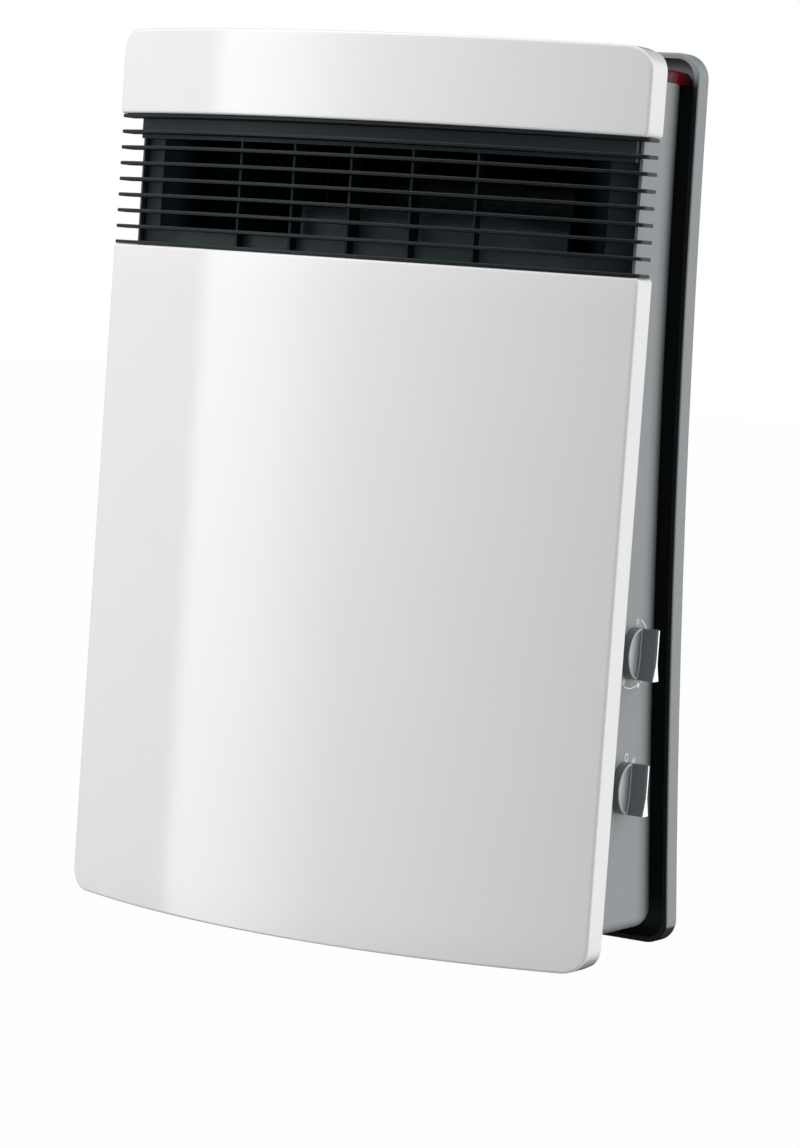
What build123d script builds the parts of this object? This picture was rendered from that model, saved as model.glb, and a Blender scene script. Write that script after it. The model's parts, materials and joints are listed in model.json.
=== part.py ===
from build123d import *
from math import asin, degrees, sqrt
import os

# Compact bathroom fan heater: a bowed glossy front in two covers with a slatted air outlet
# between them, a grey housing set in from the covers, and a shallow back cover whose foot
# kicks out. Two knobs turn on the right side. A long drum of blades blows air up through a
# heating element and out between the slats.
#
# Millimetres. X to the right, Y to the back, Z up. The origin is the middle of the four feet,
# on the surface that the heater stands on.

# Front covers
front_width = 290.0
front_bow = 35.3574
edge_plane_y = -42.0
cover_clearance = 2.0
main_cover_height = 319.5
outlet_height = 63.5
top_cover_height = 40.7
top_cover_step = 1.2
cover_return = 13.5
cover_wall = 2.5
cover_corner = 11.0
cover_edge = 2.0
cover_post_radius = 4.0
cover_post_inset_x = 53.0
cover_post_inset_z = 38.0
cover_boss_height = 1.5

# Housing
housing_side_inset = 7.1
housing_behind_front = 12.0
housing_bottom = 15.5
housing_top_inset = 7.9
housing_wall = 2.2
housing_back_round = 18.0
housing_corner = 6.0
back_flange = 20.0
shelf_wall = 2.2
shelf_gap = 0.3
case_post_radius = 4.5
case_post_inset_x = 20.0
case_post_inset_z = 17.0

# Back cover
tray_side_inset = 0.5
tray_bottom = 6.4
tray_above_top = 1.0
tray_corner = 12.0
tray_depth = 10.5
tray_rim = 2.6
tray_floor = 2.5
tray_inner_round = 4.0
tray_edge = 1.0
back_radius = 2914.0
back_upright_z = 465.0
back_from_edge_plane = 56.8
vent_length = 88.0
vent_width = 5.0
vent_pitch = 13.0
vent_rows = 13
vent_column_gap = 14.0
vent_centre_below_fan = 98.0

# Air outlet
slat_count = 9
slat_thickness = 1.7
slat_end_depth = 10.7
slat_middle_depth = 18.4
slat_front_bevel = 0.5
slat_end_round = 2.0
rib_count = 5
rib_pitch = 32.5
rib_thickness = 1.2
rib_bite = 1.5
rib_reach = 8.5
band_wall = 2.0
upper_band_drop = 11.2
lower_band_rise = 8.7
flange_setback = 4.0
funnel_wall = 2.0
funnel_side_gap = 0.3
outlet_side_wall = 1.2
mouth_inset = 12.4
throat_narrowing = 26.9
throat_behind_edge_plane = 20.0
funnel_bend = 12.0
lip_past_throat = 5.4
lip_setback = 5.0
lip_rise = 24.5
lip_round = 7.0
lip_wall = 1.8
lip_back_y = -33.0

# Fan
fan_axis_y = -14.0
fan_axis_below_outlet = 27.5
fan_radius = 25.0
fan_left_gap = 3.0
fan_right_gap = 2.6
fan_disc = 1.5
blade_count = 26
blade_thickness = 0.9
blade_depth = 7.5
blade_curve_radius = 8.5
blade_lean = 14.0
middle_discs = 2
hub_radius = 6.0
hub_length = 9.0
shaft_radius = 2.0
shaft_past_core = 18.0
shaft_past_casing = 9.4
running_clearance = 0.05

# Fan casing
casing_wall = 1.5
casing_left_x = -36.0
guide_back_y = 11.75
guide_bottom_below_fan = 8.0
guide_swing = 0.8
guide_straight_above_fan = 28.0
guide_bend = 20.0
plate_bottom_below_fan = 32.0
plate_leg_below_fan = 8.0
plate_leg_above_fan = 24.5
plate_chin_y = -40.0
plate_back_y = 12.6
plate_neck_y = -31.0
plate_neck_rise = 24.5
plate_corner = 4.0
shaft_way_radius = 8.0
motor_boss_radius = 3.6
ear_width = 12.0
ear_boss_height = 5.0
ear_boss_radius = 4.0
tongue_tip_above_fan = 23.5
tongue_rise = 21.5
tongue_wall = 1.5
tongue_hook = 6.0
tongue_bend = 2.5

# Heating element
element_height = 12.0
element_rise = 4.5
element_frame_wall = 2.0
element_side_gap = 0.4
element_front_y = -31.0
element_back_y = 10.4
element_peg_radius = 2.0
element_peg_inset = 12.0
element_bars = 3
element_bar_width = 3.2
fin_fold_depth = 1.3
fin_pitch = 5.6
fin_inset_z = 0.5

# Motor
core_from_casing = 34.0
stator_thickness = 20.0
stator_width = 52.0
stator_height = 66.0
stator_drop = 10.0
stator_corner = 3.0
stator_bore = 13.6
stator_limb = 12.0
stator_window_width = 36.0
stator_window_height = 12.0
coil_width = 26.0
coil_wall = 5.0
coil_round = 2.5
motor_rotor_gap = 0.4
bracket_wall = 1.5
bracket_width = 16.0
bracket_rise = 7.0
bracket_span = 42.0
bracket_foot_y = 15.0
bracket_head_y = 12.0
bush_radius = 5.0
bush_length = 7.0
end_bush_length = 4.5
end_bush_flange = 7.5
end_bush_flange_wall = 1.5

# Knobs and what they turn
knob_radius = 12.2
knob_y = -5.4
thermostat_z = 148.4
selector_z = 85.3
knob_wall_gap = 0.4
knob_disc = 4.2
grip_height = 7.7
grip_narrow = 4.4
grip_wide = 7.4
grip_taper = 7.0
grip_scoop = 4.0
inlay_wall = 0.6
inlay_narrow = 2.4
inlay_wide = 5.5
knob_shaft_radius = 3.0
knob_shaft_end_gap = 1.5
wall_hole_radius = 5.4
knob_hub_radius = 5.0
knob_hub_gap = 0.4
knob_shaft_grip = 17.0
knob_shaft_cover = 0.8
switch_bush_rise = 1.5
control_plate_wall = 1.5
control_plate_width = 40.0
control_plate_margin_z = 26.0
control_pad_height = 6.0
control_pad_radius = 4.0
control_pad_inset = 5.5
switch_bush_radius = 5.0
thermostat_width = 30.0
thermostat_height = 34.0
thermostat_depth = 18.0
selector_width = 32.0
selector_height = 32.0
selector_depth = 24.0
tab_width = 6.3
tab_length = 8.0
tab_wall = 0.8
tab_pitch = 9.0
control_round = 1.5

# Signal lens and lamp
lens_length = 30.0
lens_depth = 33.0
lens_height = 6.1
lens_back_round = 5.0
lens_end_round = 2.5
lens_edge = 0.8
lens_wall = 2.2
lens_hollow_radius = 9.0
lamp_radius = 2.5
lamp_length = 9.0
lamp_collar_radius = 4.5
lamp_collar_wall = 1.4
lamp_clearance = 0.3

# Small parts
foot_radius = 7.5
foot_taper = 1.5
foot_inset_x = 41.9
foot_y = 24.0
foot_plug_radius = 3.5
foot_plug_head = 1.0
foot_plug_grip = 2.0
cutout_radius = 8.0
cutout_height = 5.5
cutout_from_casing = 36.6
cutout_y = -6.0
cutout_clip_wall = 0.8
cutout_clip_height = 2.5
cutout_bracket_length = 30.0
cutout_bracket_width = 10.0
cutout_bracket_wall = 1.0
terminal_length = 44.0
terminal_width = 20.0
terminal_height = 15.0
terminal_ways = 3
terminal_from_foot = 36.0
terminal_y = 14.0
terminal_well = 2.4
terminal_well_depth = 9.0
gland_inset_x = 33.9
gland_z = 52.0
gland_bore = 3.6
gland_radius = 6.0
gland_flange = 9.0
gland_flange_wall = 2.0
gland_inner_length = 10.0

# Fasteners
case_screw_radius = 1.75
case_screw_length = 16.0
case_screw_head = 3.75
small_screw_radius = 1.4
small_screw_length = 8.0
small_screw_head = 2.8
small_screw_head_wall = 1.8
motor_screw_radius = 1.75
motor_screw_head = 3.2
motor_screw_head_wall = 2.2
screw_slot = 0.8
screw_slot_depth_share = 0.5
screw_clearance = 0.05

seat_gap = 0.2
overrun = 5.0

os.makedirs("parts", exist_ok=True)

# Places that follow from the sizes above
half_front = front_width / 2
half_housing = half_front - housing_side_inset
housing_width = 2 * half_housing
tray_width = front_width - 2 * tray_side_inset
main_bottom = cover_clearance
main_top = main_bottom + main_cover_height
top_bottom = main_top + outlet_height
top_top = top_bottom + top_cover_height
housing_top = top_top - housing_top_inset
front_radius = (half_front**2 + front_bow**2) / (2 * front_bow)
front_centre_y = edge_plane_y + sqrt(front_radius**2 - half_front**2)
back_centre_y = edge_plane_y + back_from_edge_plane + back_radius
tray_top = top_top + tray_above_top
tray_height = tray_top - tray_bottom
shelf_low = main_top - shelf_gap
shelf_high = top_bottom + shelf_gap
slat_rear_middle_y = front_centre_y - front_radius + slat_middle_depth
slat_rear_end_y = edge_plane_y + slat_end_depth
slat_rear_sagitta = slat_rear_end_y - slat_rear_middle_y
slat_rear_radius = (half_front**2 + slat_rear_sagitta**2) / (2 * slat_rear_sagitta)
slat_rear_centre_y = slat_rear_middle_y + slat_rear_radius
slat_pitch = (outlet_height - 2 * seat_gap - slat_thickness) / (slat_count - 1)
throat_y = edge_plane_y + throat_behind_edge_plane
throat_low = shelf_low + lower_band_rise
throat_high = shelf_high - upper_band_drop
outlet_half = half_housing - outlet_side_wall
flange_half = outlet_half - funnel_side_gap
mouth_half = half_housing - mouth_inset
throat_half = mouth_half - throat_narrowing
casing_right_x = throat_half
lip_left_x = casing_left_x
lip_right_x = throat_half + lip_past_throat
fan_axis_z = main_top - fan_axis_below_outlet
fan_left_x = casing_left_x + fan_left_gap
fan_right_x = casing_right_x - fan_right_gap
stator_left_x = casing_left_x - core_from_casing
shaft_left_x = stator_left_x - shaft_past_core
shaft_right_x = casing_right_x + shaft_past_casing
vent_centre_z = fan_axis_z - vent_centre_below_fan
guide_bottom_z = fan_axis_z - guide_bottom_below_fan
guide_straight_z = fan_axis_z + guide_straight_above_fan
plate_bottom_z = fan_axis_z - plate_bottom_below_fan
plate_leg_bottom_z = fan_axis_z - plate_leg_below_fan
plate_leg_top_z = fan_axis_z + plate_leg_above_fan
plate_neck_z = main_top + plate_neck_rise
tongue_tip_z = fan_axis_z + tongue_tip_above_fan
tongue_top_z = main_top + tongue_rise
element_bottom_z = main_top + element_rise
cutout_x = casing_right_x - cutout_from_casing
cover_post_x = half_front - cover_post_inset_x
foot_x = half_housing - foot_inset_x
gland_x = gland_inset_x - half_housing
terminal_x = terminal_from_foot - foot_x
lip_behind = flange_setback + lip_setback
knob_face_x = half_housing + knob_wall_gap + knob_disc
grip_end_x = knob_face_x + grip_height
low_centre = (Align.CENTER, Align.CENTER, Align.MIN)


def front_y(x, behind=0):
    """Y of the bowed front at x, a given depth behind the covers' outer face."""
    return front_centre_y - sqrt((front_radius - behind) ** 2 - x**2)


def slat_rear_y(x, behind=0):
    """Y of the slats' rear edge at x, or of the parallel curve behind it."""
    return slat_rear_centre_y - sqrt((slat_rear_radius - behind) ** 2 - x**2)


def back_y(z, inside=0):
    """Y of the back cover's curved back at height z, or a given depth inside it."""
    return back_centre_y - sqrt((back_radius + inside) ** 2 - (back_upright_z - z) ** 2)


def at_y(y):
    """Upright plane across the heater, whose extrusions run forwards."""
    return Plane.XZ.offset(-y)


def at_x(x):
    """Upright plane from front to back, whose extrusions run to the right."""
    return Plane.YZ.offset(x)


def save(piece, name):
    """Label a finished piece and write its file."""
    piece.label = name
    export_step(piece, f"parts/{name}.step")


def side_profile(x, low, high, near_y, inside):
    """Face seen from the side, at x: from a straight front line back to the curved back."""
    middle = (low + high) / 2
    with BuildSketch(at_x(x)) as profile:
        with BuildLine():
            Polyline((back_y(low, inside), low), (near_y, low), (near_y, high), (back_y(high, inside), high))
            ThreePointArc(
                (back_y(low, inside), low), (back_y(middle, inside), middle), (back_y(high, inside), high)
            )
        make_face()
    return profile.sketch


def bowed_plan(z, half_width, behind, rear_y):
    """Face seen from above: a bowed front edge, straight sides and a straight rear edge."""
    side_y = front_y(half_width, behind)
    with BuildSketch(Plane.XY.offset(z)) as plan:
        with BuildLine():
            ThreePointArc((-half_width, side_y), (0, front_y(0, behind)), (half_width, side_y))
            Polyline((half_width, side_y), (half_width, rear_y), (-half_width, rear_y), (-half_width, side_y))
        make_face()
    return plan.sketch


# Front covers: two moulded shells with the same bow, open at the rear


def cover_block(low, high, shift_y, inset, rounded_ends, rear_extra):
    """Solid block of a cover, inset by a wall, with its outer corners rounded."""
    with BuildPart() as block:
        rear_y = edge_plane_y + cover_return + rear_extra
        extrude(bowed_plan(low + inset, half_front - inset, inset, rear_y), amount=high - low - 2 * inset)
        across = block.edges().filter_by(Axis.Y).group_by(Axis.Z)
        fillet(across[rounded_ends], cover_corner - inset)
    return block.part.moved(Location((0, shift_y, 0)))


def cover(low, high, shift_y, rounded_ends, post_heights):
    """A cover shell with posts that reach back to the housing's front wall."""
    with BuildPart() as shell:
        add(cover_block(low, high, shift_y, 0, rounded_ends, 0))
        face = shell.faces().sort_by(Axis.Y)[0]
        fillet(face.edges(), cover_edge)
        add(cover_block(low, high, shift_y, cover_wall, rounded_ends, overrun), mode=Mode.SUBTRACT)
        post_places = [(x, z) for x in (-cover_post_x, cover_post_x) for z in post_heights]
        rear_y = edge_plane_y + cover_return
        with BuildSketch(at_y(rear_y)):
            with Locations(post_places):
                Circle(cover_post_radius)
        extrude(amount=rear_y - front_y(cover_post_x, cover_wall / 2) - shift_y)
        with BuildSketch(at_y(rear_y)):
            with Locations(post_places):
                Circle(small_screw_radius + screw_clearance)
        extrude(amount=rear_y - front_y(cover_post_x, 2 * cover_wall), mode=Mode.SUBTRACT)
        # the returns and posts end against the housing's bowed front wall
        housing_zone = bowed_plan(low, half_housing + cover_wall, housing_behind_front, rear_y + overrun)
        extrude(housing_zone, amount=high - low, mode=Mode.SUBTRACT)
    return shell.part


main_post_heights = (main_bottom + cover_post_inset_z, main_top - cover_post_inset_z)
top_post_heights = ((top_bottom + top_top) / 2,)

front_cover = cover(main_bottom, main_top, 0, 0, main_post_heights)
save(front_cover, "front_cover")

top_cover = cover(top_bottom, top_top, -top_cover_step, -1, top_post_heights)
save(top_cover, "top_cover")


# Back cover: a shallow tray on the same curve, with a rim all round and intake vents


def tray_block(inset, inside, near_inside):
    """Solid between two depths of the curved back, cut to the tray's rounded outline."""
    low = tray_bottom - overrun
    high = tray_top + overrun
    far_left = -tray_width / 2 - overrun
    with BuildPart() as block:
        extrude(side_profile(far_left, low, high, edge_plane_y, inside), amount=tray_width + 2 * overrun)
        far_left -= overrun
        low -= overrun
        high += overrun
        front_part = side_profile(far_left, low, high, edge_plane_y - overrun, near_inside)
        extrude(front_part, amount=-2 * far_left, mode=Mode.SUBTRACT)
        with BuildSketch(at_y(back_y(0) + overrun)):
            with Locations((0, (tray_bottom + tray_top) / 2)):
                RectangleRounded(tray_width - 2 * inset, tray_height - 2 * inset, tray_corner - inset)
        extrude(amount=back_y(0) + 2 * overrun - edge_plane_y, mode=Mode.INTERSECT)
    return block.part


case_screw_places = [
    (x, z)
    for x in (case_post_inset_x - half_housing, half_housing - case_post_inset_x)
    for z in (housing_bottom + case_post_inset_z, housing_top - case_post_inset_z)
]
gland_slope = degrees(asin((back_upright_z - gland_z) / back_radius))
gland_plane = Plane(origin=(gland_x, back_y(gland_z), gland_z), x_dir=(1, 0, 0), z_dir=(0, 1, 0)).rotated(
    (gland_slope, 0, 0)
)

with BuildPart() as tray_hollow:
    add(tray_block(tray_rim, tray_floor, tray_depth + overrun))
    floor_face = tray_hollow.faces().sort_by(Axis.Y)[-1]
    fillet(floor_face.edges(), tray_inner_round)

with BuildPart() as back_cover:
    add(tray_block(0, 0, tray_depth))
    back_face = back_cover.faces().sort_by(Axis.Y)[-1]
    fillet(back_face.edges(), tray_edge)
    add(tray_hollow.part, mode=Mode.SUBTRACT)
    vent_top_z = vent_centre_z + (vent_rows - 1) * vent_pitch / 2
    with BuildSketch(at_y(back_y(0) + overrun)):
        with Locations((0, vent_centre_z)):
            with GridLocations(vent_length + vent_column_gap, vent_pitch, 2, vent_rows):
                SlotOverall(vent_length, vent_width)
    extrude(amount=back_y(0) - back_y(vent_top_z) + 2 * overrun + tray_floor, mode=Mode.SUBTRACT)
    for x, z in case_screw_places:
        with Locations(Plane(origin=(x, back_y(z), z), x_dir=(1, 0, 0), z_dir=(0, 1, 0))):
            CounterSinkHole(case_screw_radius + screw_clearance, case_screw_head, depth=tray_floor + overrun)
    with BuildSketch(gland_plane):
        Circle(gland_radius)
    extrude(amount=tray_floor + overrun, both=True, mode=Mode.SUBTRACT)
save(back_cover.part, "back_cover")


# Housing: the grey middle shell. Its back edges are well rounded, and it opens at the front
# between two shelves for the air outlet and at the back inside a narrow flange.


def housing_block(inset):
    """Solid block of the housing, inset by its wall, rounded along its back edges."""
    low = housing_bottom + inset
    high = housing_top - inset
    with BuildPart() as block:
        plan = bowed_plan(low, half_housing - inset, housing_behind_front + inset, back_y(low))
        extrude(plan, amount=high - low)
        reach = half_housing + overrun
        rear_inside = tray_floor + seat_gap + inset
        side_view = side_profile(-reach, low - overrun, high + overrun, front_y(0) - overrun, rear_inside)
        extrude(side_view, amount=2 * reach, mode=Mode.INTERSECT)
        corner_edges = block.edges().filter_by(Axis.Y)
        fillet(corner_edges, housing_corner - inset)
        rear_face = block.faces().sort_by(Axis.Y)[-1]
        fillet(rear_face.edges(), housing_back_round - inset)
    return block.part


def shelf(z):
    """One shelf above or below the outlet, from the front wall back to the throat."""
    half_wall = housing_wall / 2
    with BuildPart() as plate:
        plan = bowed_plan(z, half_housing - half_wall, housing_behind_front + half_wall, throat_y)
        extrude(plan, amount=shelf_wall)
    return plate.part


lens_back_y = back_y(housing_top - lens_height, tray_floor) - seat_gap
lens_front_y = lens_back_y - lens_depth
lamp_x = half_housing - lens_length / 2
lamp_y = lens_front_y + lens_depth / 2
lens_low = housing_top - lens_height
way_left_x = casing_left_x - casing_wall - seat_gap
way_width = casing_right_x + casing_wall + seat_gap - way_left_x
way_depth = throat_y - lip_back_y + 2 * overrun
ear_places = [
    (casing_left_x - casing_wall - ear_width / 2, (plate_leg_bottom_z + plate_leg_top_z) / 2),
    (casing_right_x + casing_wall + ear_width / 2, (plate_leg_bottom_z + plate_leg_top_z) / 2),
]
pad_low_z = selector_z - control_plate_margin_z
pad_high_z = thermostat_z + control_plate_margin_z
pad_places = [
    (knob_y + side * (control_plate_width / 2 - control_pad_inset), z)
    for side in (-1, 1)
    for z in (pad_low_z + control_pad_inset, pad_high_z - control_pad_inset)
]
cover_screw_places = [
    (x, z) for x in (-cover_post_x, cover_post_x) for z in main_post_heights + top_post_heights
]


def ear_face_y(x):
    """Y of the flat face of the boss that a casing ear is screwed to."""
    return front_y(x, housing_behind_front + housing_wall) + ear_boss_height


def cover_boss_y(x):
    """Y of the low boss inside the front wall that a cover screw's head rests on."""
    return front_y(x, housing_behind_front + housing_wall) + cover_boss_height


with BuildPart() as housing_hollow:
    add(housing_block(housing_wall))
    add(shelf(shelf_low - shelf_wall), mode=Mode.SUBTRACT)
    add(shelf(shelf_high), mode=Mode.SUBTRACT)
    for x, z in case_screw_places:
        with BuildSketch(at_y(back_y(z))):
            with Locations((x, z)):
                Circle(case_post_radius)
        extrude(amount=back_y(z) - front_y(0), mode=Mode.SUBTRACT)
    for x, z in ear_places:
        with BuildSketch(at_y(ear_face_y(x))):
            with Locations((x, z)):
                Circle(ear_boss_radius)
        extrude(amount=ear_face_y(x) - front_y(0), mode=Mode.SUBTRACT)
    for x, z in cover_screw_places:
        with BuildSketch(at_y(cover_boss_y(x))):
            with Locations((x, z)):
                Circle(cover_post_radius)
        extrude(amount=cover_boss_y(x) - front_y(0), mode=Mode.SUBTRACT)
    with BuildSketch(at_x(half_housing)):
        with Locations(pad_places):
            Circle(control_pad_radius)
    extrude(amount=-housing_wall - control_pad_height, mode=Mode.SUBTRACT)
    with BuildSketch(Plane.XY.offset(housing_top)):
        with Locations((lamp_x, lamp_y)):
            Rectangle(lens_length, lens_depth + 2 * housing_wall)
    extrude(amount=-lens_height - housing_wall, mode=Mode.SUBTRACT)

with BuildPart() as housing:
    add(housing_block(0))
    add(housing_hollow.part, mode=Mode.SUBTRACT)
    # the outlet's opening in the front wall, as wide as the inside
    with BuildSketch(Plane.XY.offset(shelf_low)):
        with Locations((0, throat_y)):
            Rectangle(2 * outlet_half, throat_y - front_y(0), align=(Align.CENTER, Align.MAX))
    extrude(amount=shelf_high - shelf_low, mode=Mode.SUBTRACT)
    # the way up for the fan's casing through the rear of the lower shelf
    with Locations((way_left_x, lip_back_y - seat_gap, shelf_low - shelf_wall)):
        Box(way_width, way_depth, shelf_wall, align=Align.MIN, mode=Mode.SUBTRACT)
    # the opening in the back, inside a flange
    back_opening_height = housing_top - housing_bottom - 2 * back_flange
    with BuildSketch(at_y(back_y(0))):
        with Locations((0, (housing_top + housing_bottom) / 2)):
            RectangleRounded(housing_width - 2 * back_flange, back_opening_height, housing_corner)
        with Locations(case_screw_places):
            Circle(case_post_radius, mode=Mode.SUBTRACT)
    extrude(amount=back_y(0) - back_y(housing_top) + tray_floor + 3 * housing_wall, mode=Mode.SUBTRACT)
    for x, z in case_screw_places:
        with BuildSketch(at_y(back_y(z))):
            with Locations((x, z)):
                Circle(case_screw_radius + screw_clearance)
        extrude(amount=case_screw_length + overrun, mode=Mode.SUBTRACT)
    # the seat of the signal lens, and the lamp's hole in its floor
    with BuildSketch(Plane.XY.offset(lens_low)):
        with Locations((lamp_x + overrun / 2, (lens_front_y + back_y(0)) / 2)):
            Rectangle(lens_length + overrun, back_y(0) - lens_front_y)
    extrude(amount=lens_height + overrun, mode=Mode.SUBTRACT)
    with BuildSketch(Plane.XY.offset(lens_low - housing_wall - overrun)):
        with Locations((lamp_x, lamp_y)):
            Circle(lamp_radius + lamp_clearance)
    extrude(amount=housing_wall + 2 * overrun, mode=Mode.SUBTRACT)
    # holes for the knob shafts, the cover screws, the feet and the small bosses
    with BuildSketch(at_x(half_housing + overrun)):
        with Locations((knob_y, thermostat_z), (knob_y, selector_z)):
            Circle(wall_hole_radius)
    extrude(amount=-housing_wall - 2 * overrun, mode=Mode.SUBTRACT)
    with BuildSketch(at_y(front_y(cover_post_x, housing_behind_front + housing_wall) + overrun)):
        with Locations(cover_screw_places):
            Circle(small_screw_radius + screw_clearance)
    extrude(amount=housing_wall + 3 * overrun, mode=Mode.SUBTRACT)
    for x, z in ear_places:
        with BuildSketch(at_y(ear_face_y(x))):
            with Locations((x, z)):
                Circle(small_screw_radius + screw_clearance)
        extrude(amount=small_screw_length - casing_wall, mode=Mode.SUBTRACT)
    with BuildSketch(at_x(half_housing - housing_wall - control_pad_height)):
        with Locations(pad_places):
            Circle(small_screw_radius + screw_clearance)
    extrude(amount=small_screw_length - control_plate_wall, mode=Mode.SUBTRACT)
    with BuildSketch(Plane.XY.offset(housing_bottom - overrun)):
        with GridLocations(2 * foot_x, 2 * foot_y, 2, 2):
            Circle(foot_plug_radius)
    extrude(amount=housing_wall + 2 * overrun, mode=Mode.SUBTRACT)
save(housing.part, "housing")


# Air outlet: curved slats on upright ribs, in front of a funnel that leads from the throat


def rear_strip(z, half_width, front_behind, rear_behind):
    """Face seen from above: a strip between two curves that run parallel to the slats' rear edge."""
    near_y = slat_rear_y(half_width, front_behind)
    far_y = slat_rear_y(half_width, rear_behind)
    with BuildSketch(Plane.XY.offset(z)) as strip:
        with BuildLine():
            ThreePointArc((-half_width, near_y), (0, slat_rear_y(0, front_behind)), (half_width, near_y))
            Line((half_width, near_y), (half_width, far_y))
            ThreePointArc((half_width, far_y), (0, slat_rear_y(0, rear_behind)), (-half_width, far_y))
            Line((-half_width, far_y), (-half_width, near_y))
        make_face()
    return strip.sketch


with BuildPart() as slat:
    with BuildSketch():
        with BuildLine():
            ThreePointArc((-half_front, edge_plane_y), (0, front_y(0)), (half_front, edge_plane_y))
            rear_right = (half_front, slat_rear_end_y)
            rear_left = (-half_front, slat_rear_end_y)
            Line((half_front, edge_plane_y), rear_right)
            ThreePointArc(rear_right, (0, slat_rear_middle_y), rear_left)
            Line(rear_left, (-half_front, edge_plane_y))
        make_face()
        front_corners = [v for v in vertices() if v.Y < edge_plane_y + slat_end_depth / 2]
        fillet(front_corners, slat_end_round)
    extrude(amount=slat_thickness)
    bows = slat.edges().filter_by(GeomType.CIRCLE)
    nose = [e for e in bows if e.center().Y < slat_rear_middle_y - slat_end_depth]
    chamfer(nose, slat_front_bevel)

outlet_low = main_top + seat_gap
outlet_high = top_bottom - seat_gap
rib_places = [(index - (rib_count - 1) / 2) * rib_pitch for index in range(rib_count)]

with BuildPart() as outlet_grille:
    for index in range(slat_count):
        add(slat.part.moved(Location((0, 0, outlet_low + index * slat_pitch))))
    # upper band behind the first two slats
    extrude(rear_strip(throat_high, flange_half, -rib_bite, band_wall), amount=outlet_high - throat_high)
    for rib_x in rib_places:
        front = slat_rear_y(rib_x, -rib_bite)
        foot_back = slat_rear_y(rib_x, flange_setback) - seat_gap
        rib_back = slat_rear_middle_y + rib_reach
        with BuildSketch(at_x(rib_x - rib_thickness / 2)):
            with BuildLine():
                Polyline(
                    (front, outlet_low),
                    (foot_back, outlet_low),
                    (foot_back, throat_low),
                    (rib_back, throat_low),
                    (rib_back, throat_high),
                    (front, throat_high),
                    close=True,
                )
            make_face()
        extrude(amount=rib_thickness)
save(outlet_grille.part, "outlet_grille")


def funnel_plan(z, inset):
    """Face seen from above: the funnel's narrowing way from its mouth back to the throat."""
    mouth_x = mouth_half - inset
    throat_x = throat_half - inset
    mouth_y = slat_rear_y(mouth_half, flange_setback)
    with BuildSketch(Plane.XY.offset(z)) as plan:
        with BuildLine():
            Polyline(
                (-mouth_x, front_y(0)),
                (-mouth_x, mouth_y),
                (-throat_x, throat_y),
                (throat_x, throat_y),
                (mouth_x, mouth_y),
                (mouth_x, front_y(0)),
                close=True,
            )
        make_face()
        bends = [v for v in vertices() if abs(v.Y - mouth_y) < funnel_wall]
        fillet(bends, funnel_bend)
    return plan.sketch


lip_length = lip_right_x - lip_left_x
lip_top_z = shelf_low + lip_rise


def lip_block(inset, low, high):
    """Solid of the rounded lip that stands across the throat, inset by its wall."""
    with BuildPart() as block:
        extrude(rear_strip(low, half_housing, lip_behind + inset, half_housing), amount=high - low)
        with BuildSketch(Plane.XY.offset(low)):
            with Locations((lip_left_x + lip_length / 2, lip_back_y - inset)):
                Rectangle(lip_length - 2 * inset, half_housing, align=(Align.CENTER, Align.MAX))
        extrude(amount=high - low, mode=Mode.INTERSECT)
        front_top_edge = block.edges().filter_by(GeomType.CIRCLE).sort_by(Axis.Z)[-1]
        fillet(front_top_edge, lip_round - inset)
    return block.part


with BuildPart() as outlet_funnel:
    # flange behind the slats, and walls that narrow from it to the throat
    flange_face = rear_strip(outlet_low, flange_half, flange_setback, flange_setback + funnel_wall)
    extrude(flange_face, amount=outlet_high - outlet_low)
    throat_height = throat_high - throat_low
    extrude(funnel_plan(throat_low - funnel_wall, -funnel_wall), amount=throat_height + 2 * funnel_wall)
    before_flange = rear_strip(outlet_low, half_front, -half_front, flange_setback)
    extrude(before_flange, amount=outlet_high - outlet_low, mode=Mode.SUBTRACT)
    extrude(funnel_plan(throat_low, 0), amount=throat_height, mode=Mode.SUBTRACT)
    # left of the fan's casing the throat is closed, and the casing's plates come up through the floor
    closed_left_x = -throat_half - funnel_wall / 2
    with Locations((closed_left_x, throat_y - funnel_wall, throat_low - funnel_wall)):
        Box(way_left_x - closed_left_x, funnel_wall, throat_height + 2 * funnel_wall, align=Align.MIN)
    with Locations((way_left_x, lip_back_y - overrun, outlet_low)):
        Box(way_width, way_depth, plate_neck_z + seat_gap - outlet_low, align=Align.MIN, mode=Mode.SUBTRACT)
    # the rounded lip, hollow below
    add(lip_block(0, outlet_low, lip_top_z))
    add(lip_block(lip_wall, outlet_low - overrun, lip_top_z - lip_wall), mode=Mode.SUBTRACT)
save(outlet_funnel.part, "outlet_funnel")


# Fan casing: two end plates, a rear guide that turns the air forwards, and a tongue in front


def round_x(x, length, radius):
    """Round bar along X, centred on the fan's axis."""
    with BuildPart() as bar:
        with BuildSketch(at_x(x)):
            with Locations((fan_axis_y, fan_axis_z)):
                Circle(radius)
        extrude(amount=length)
    return bar.part


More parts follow.
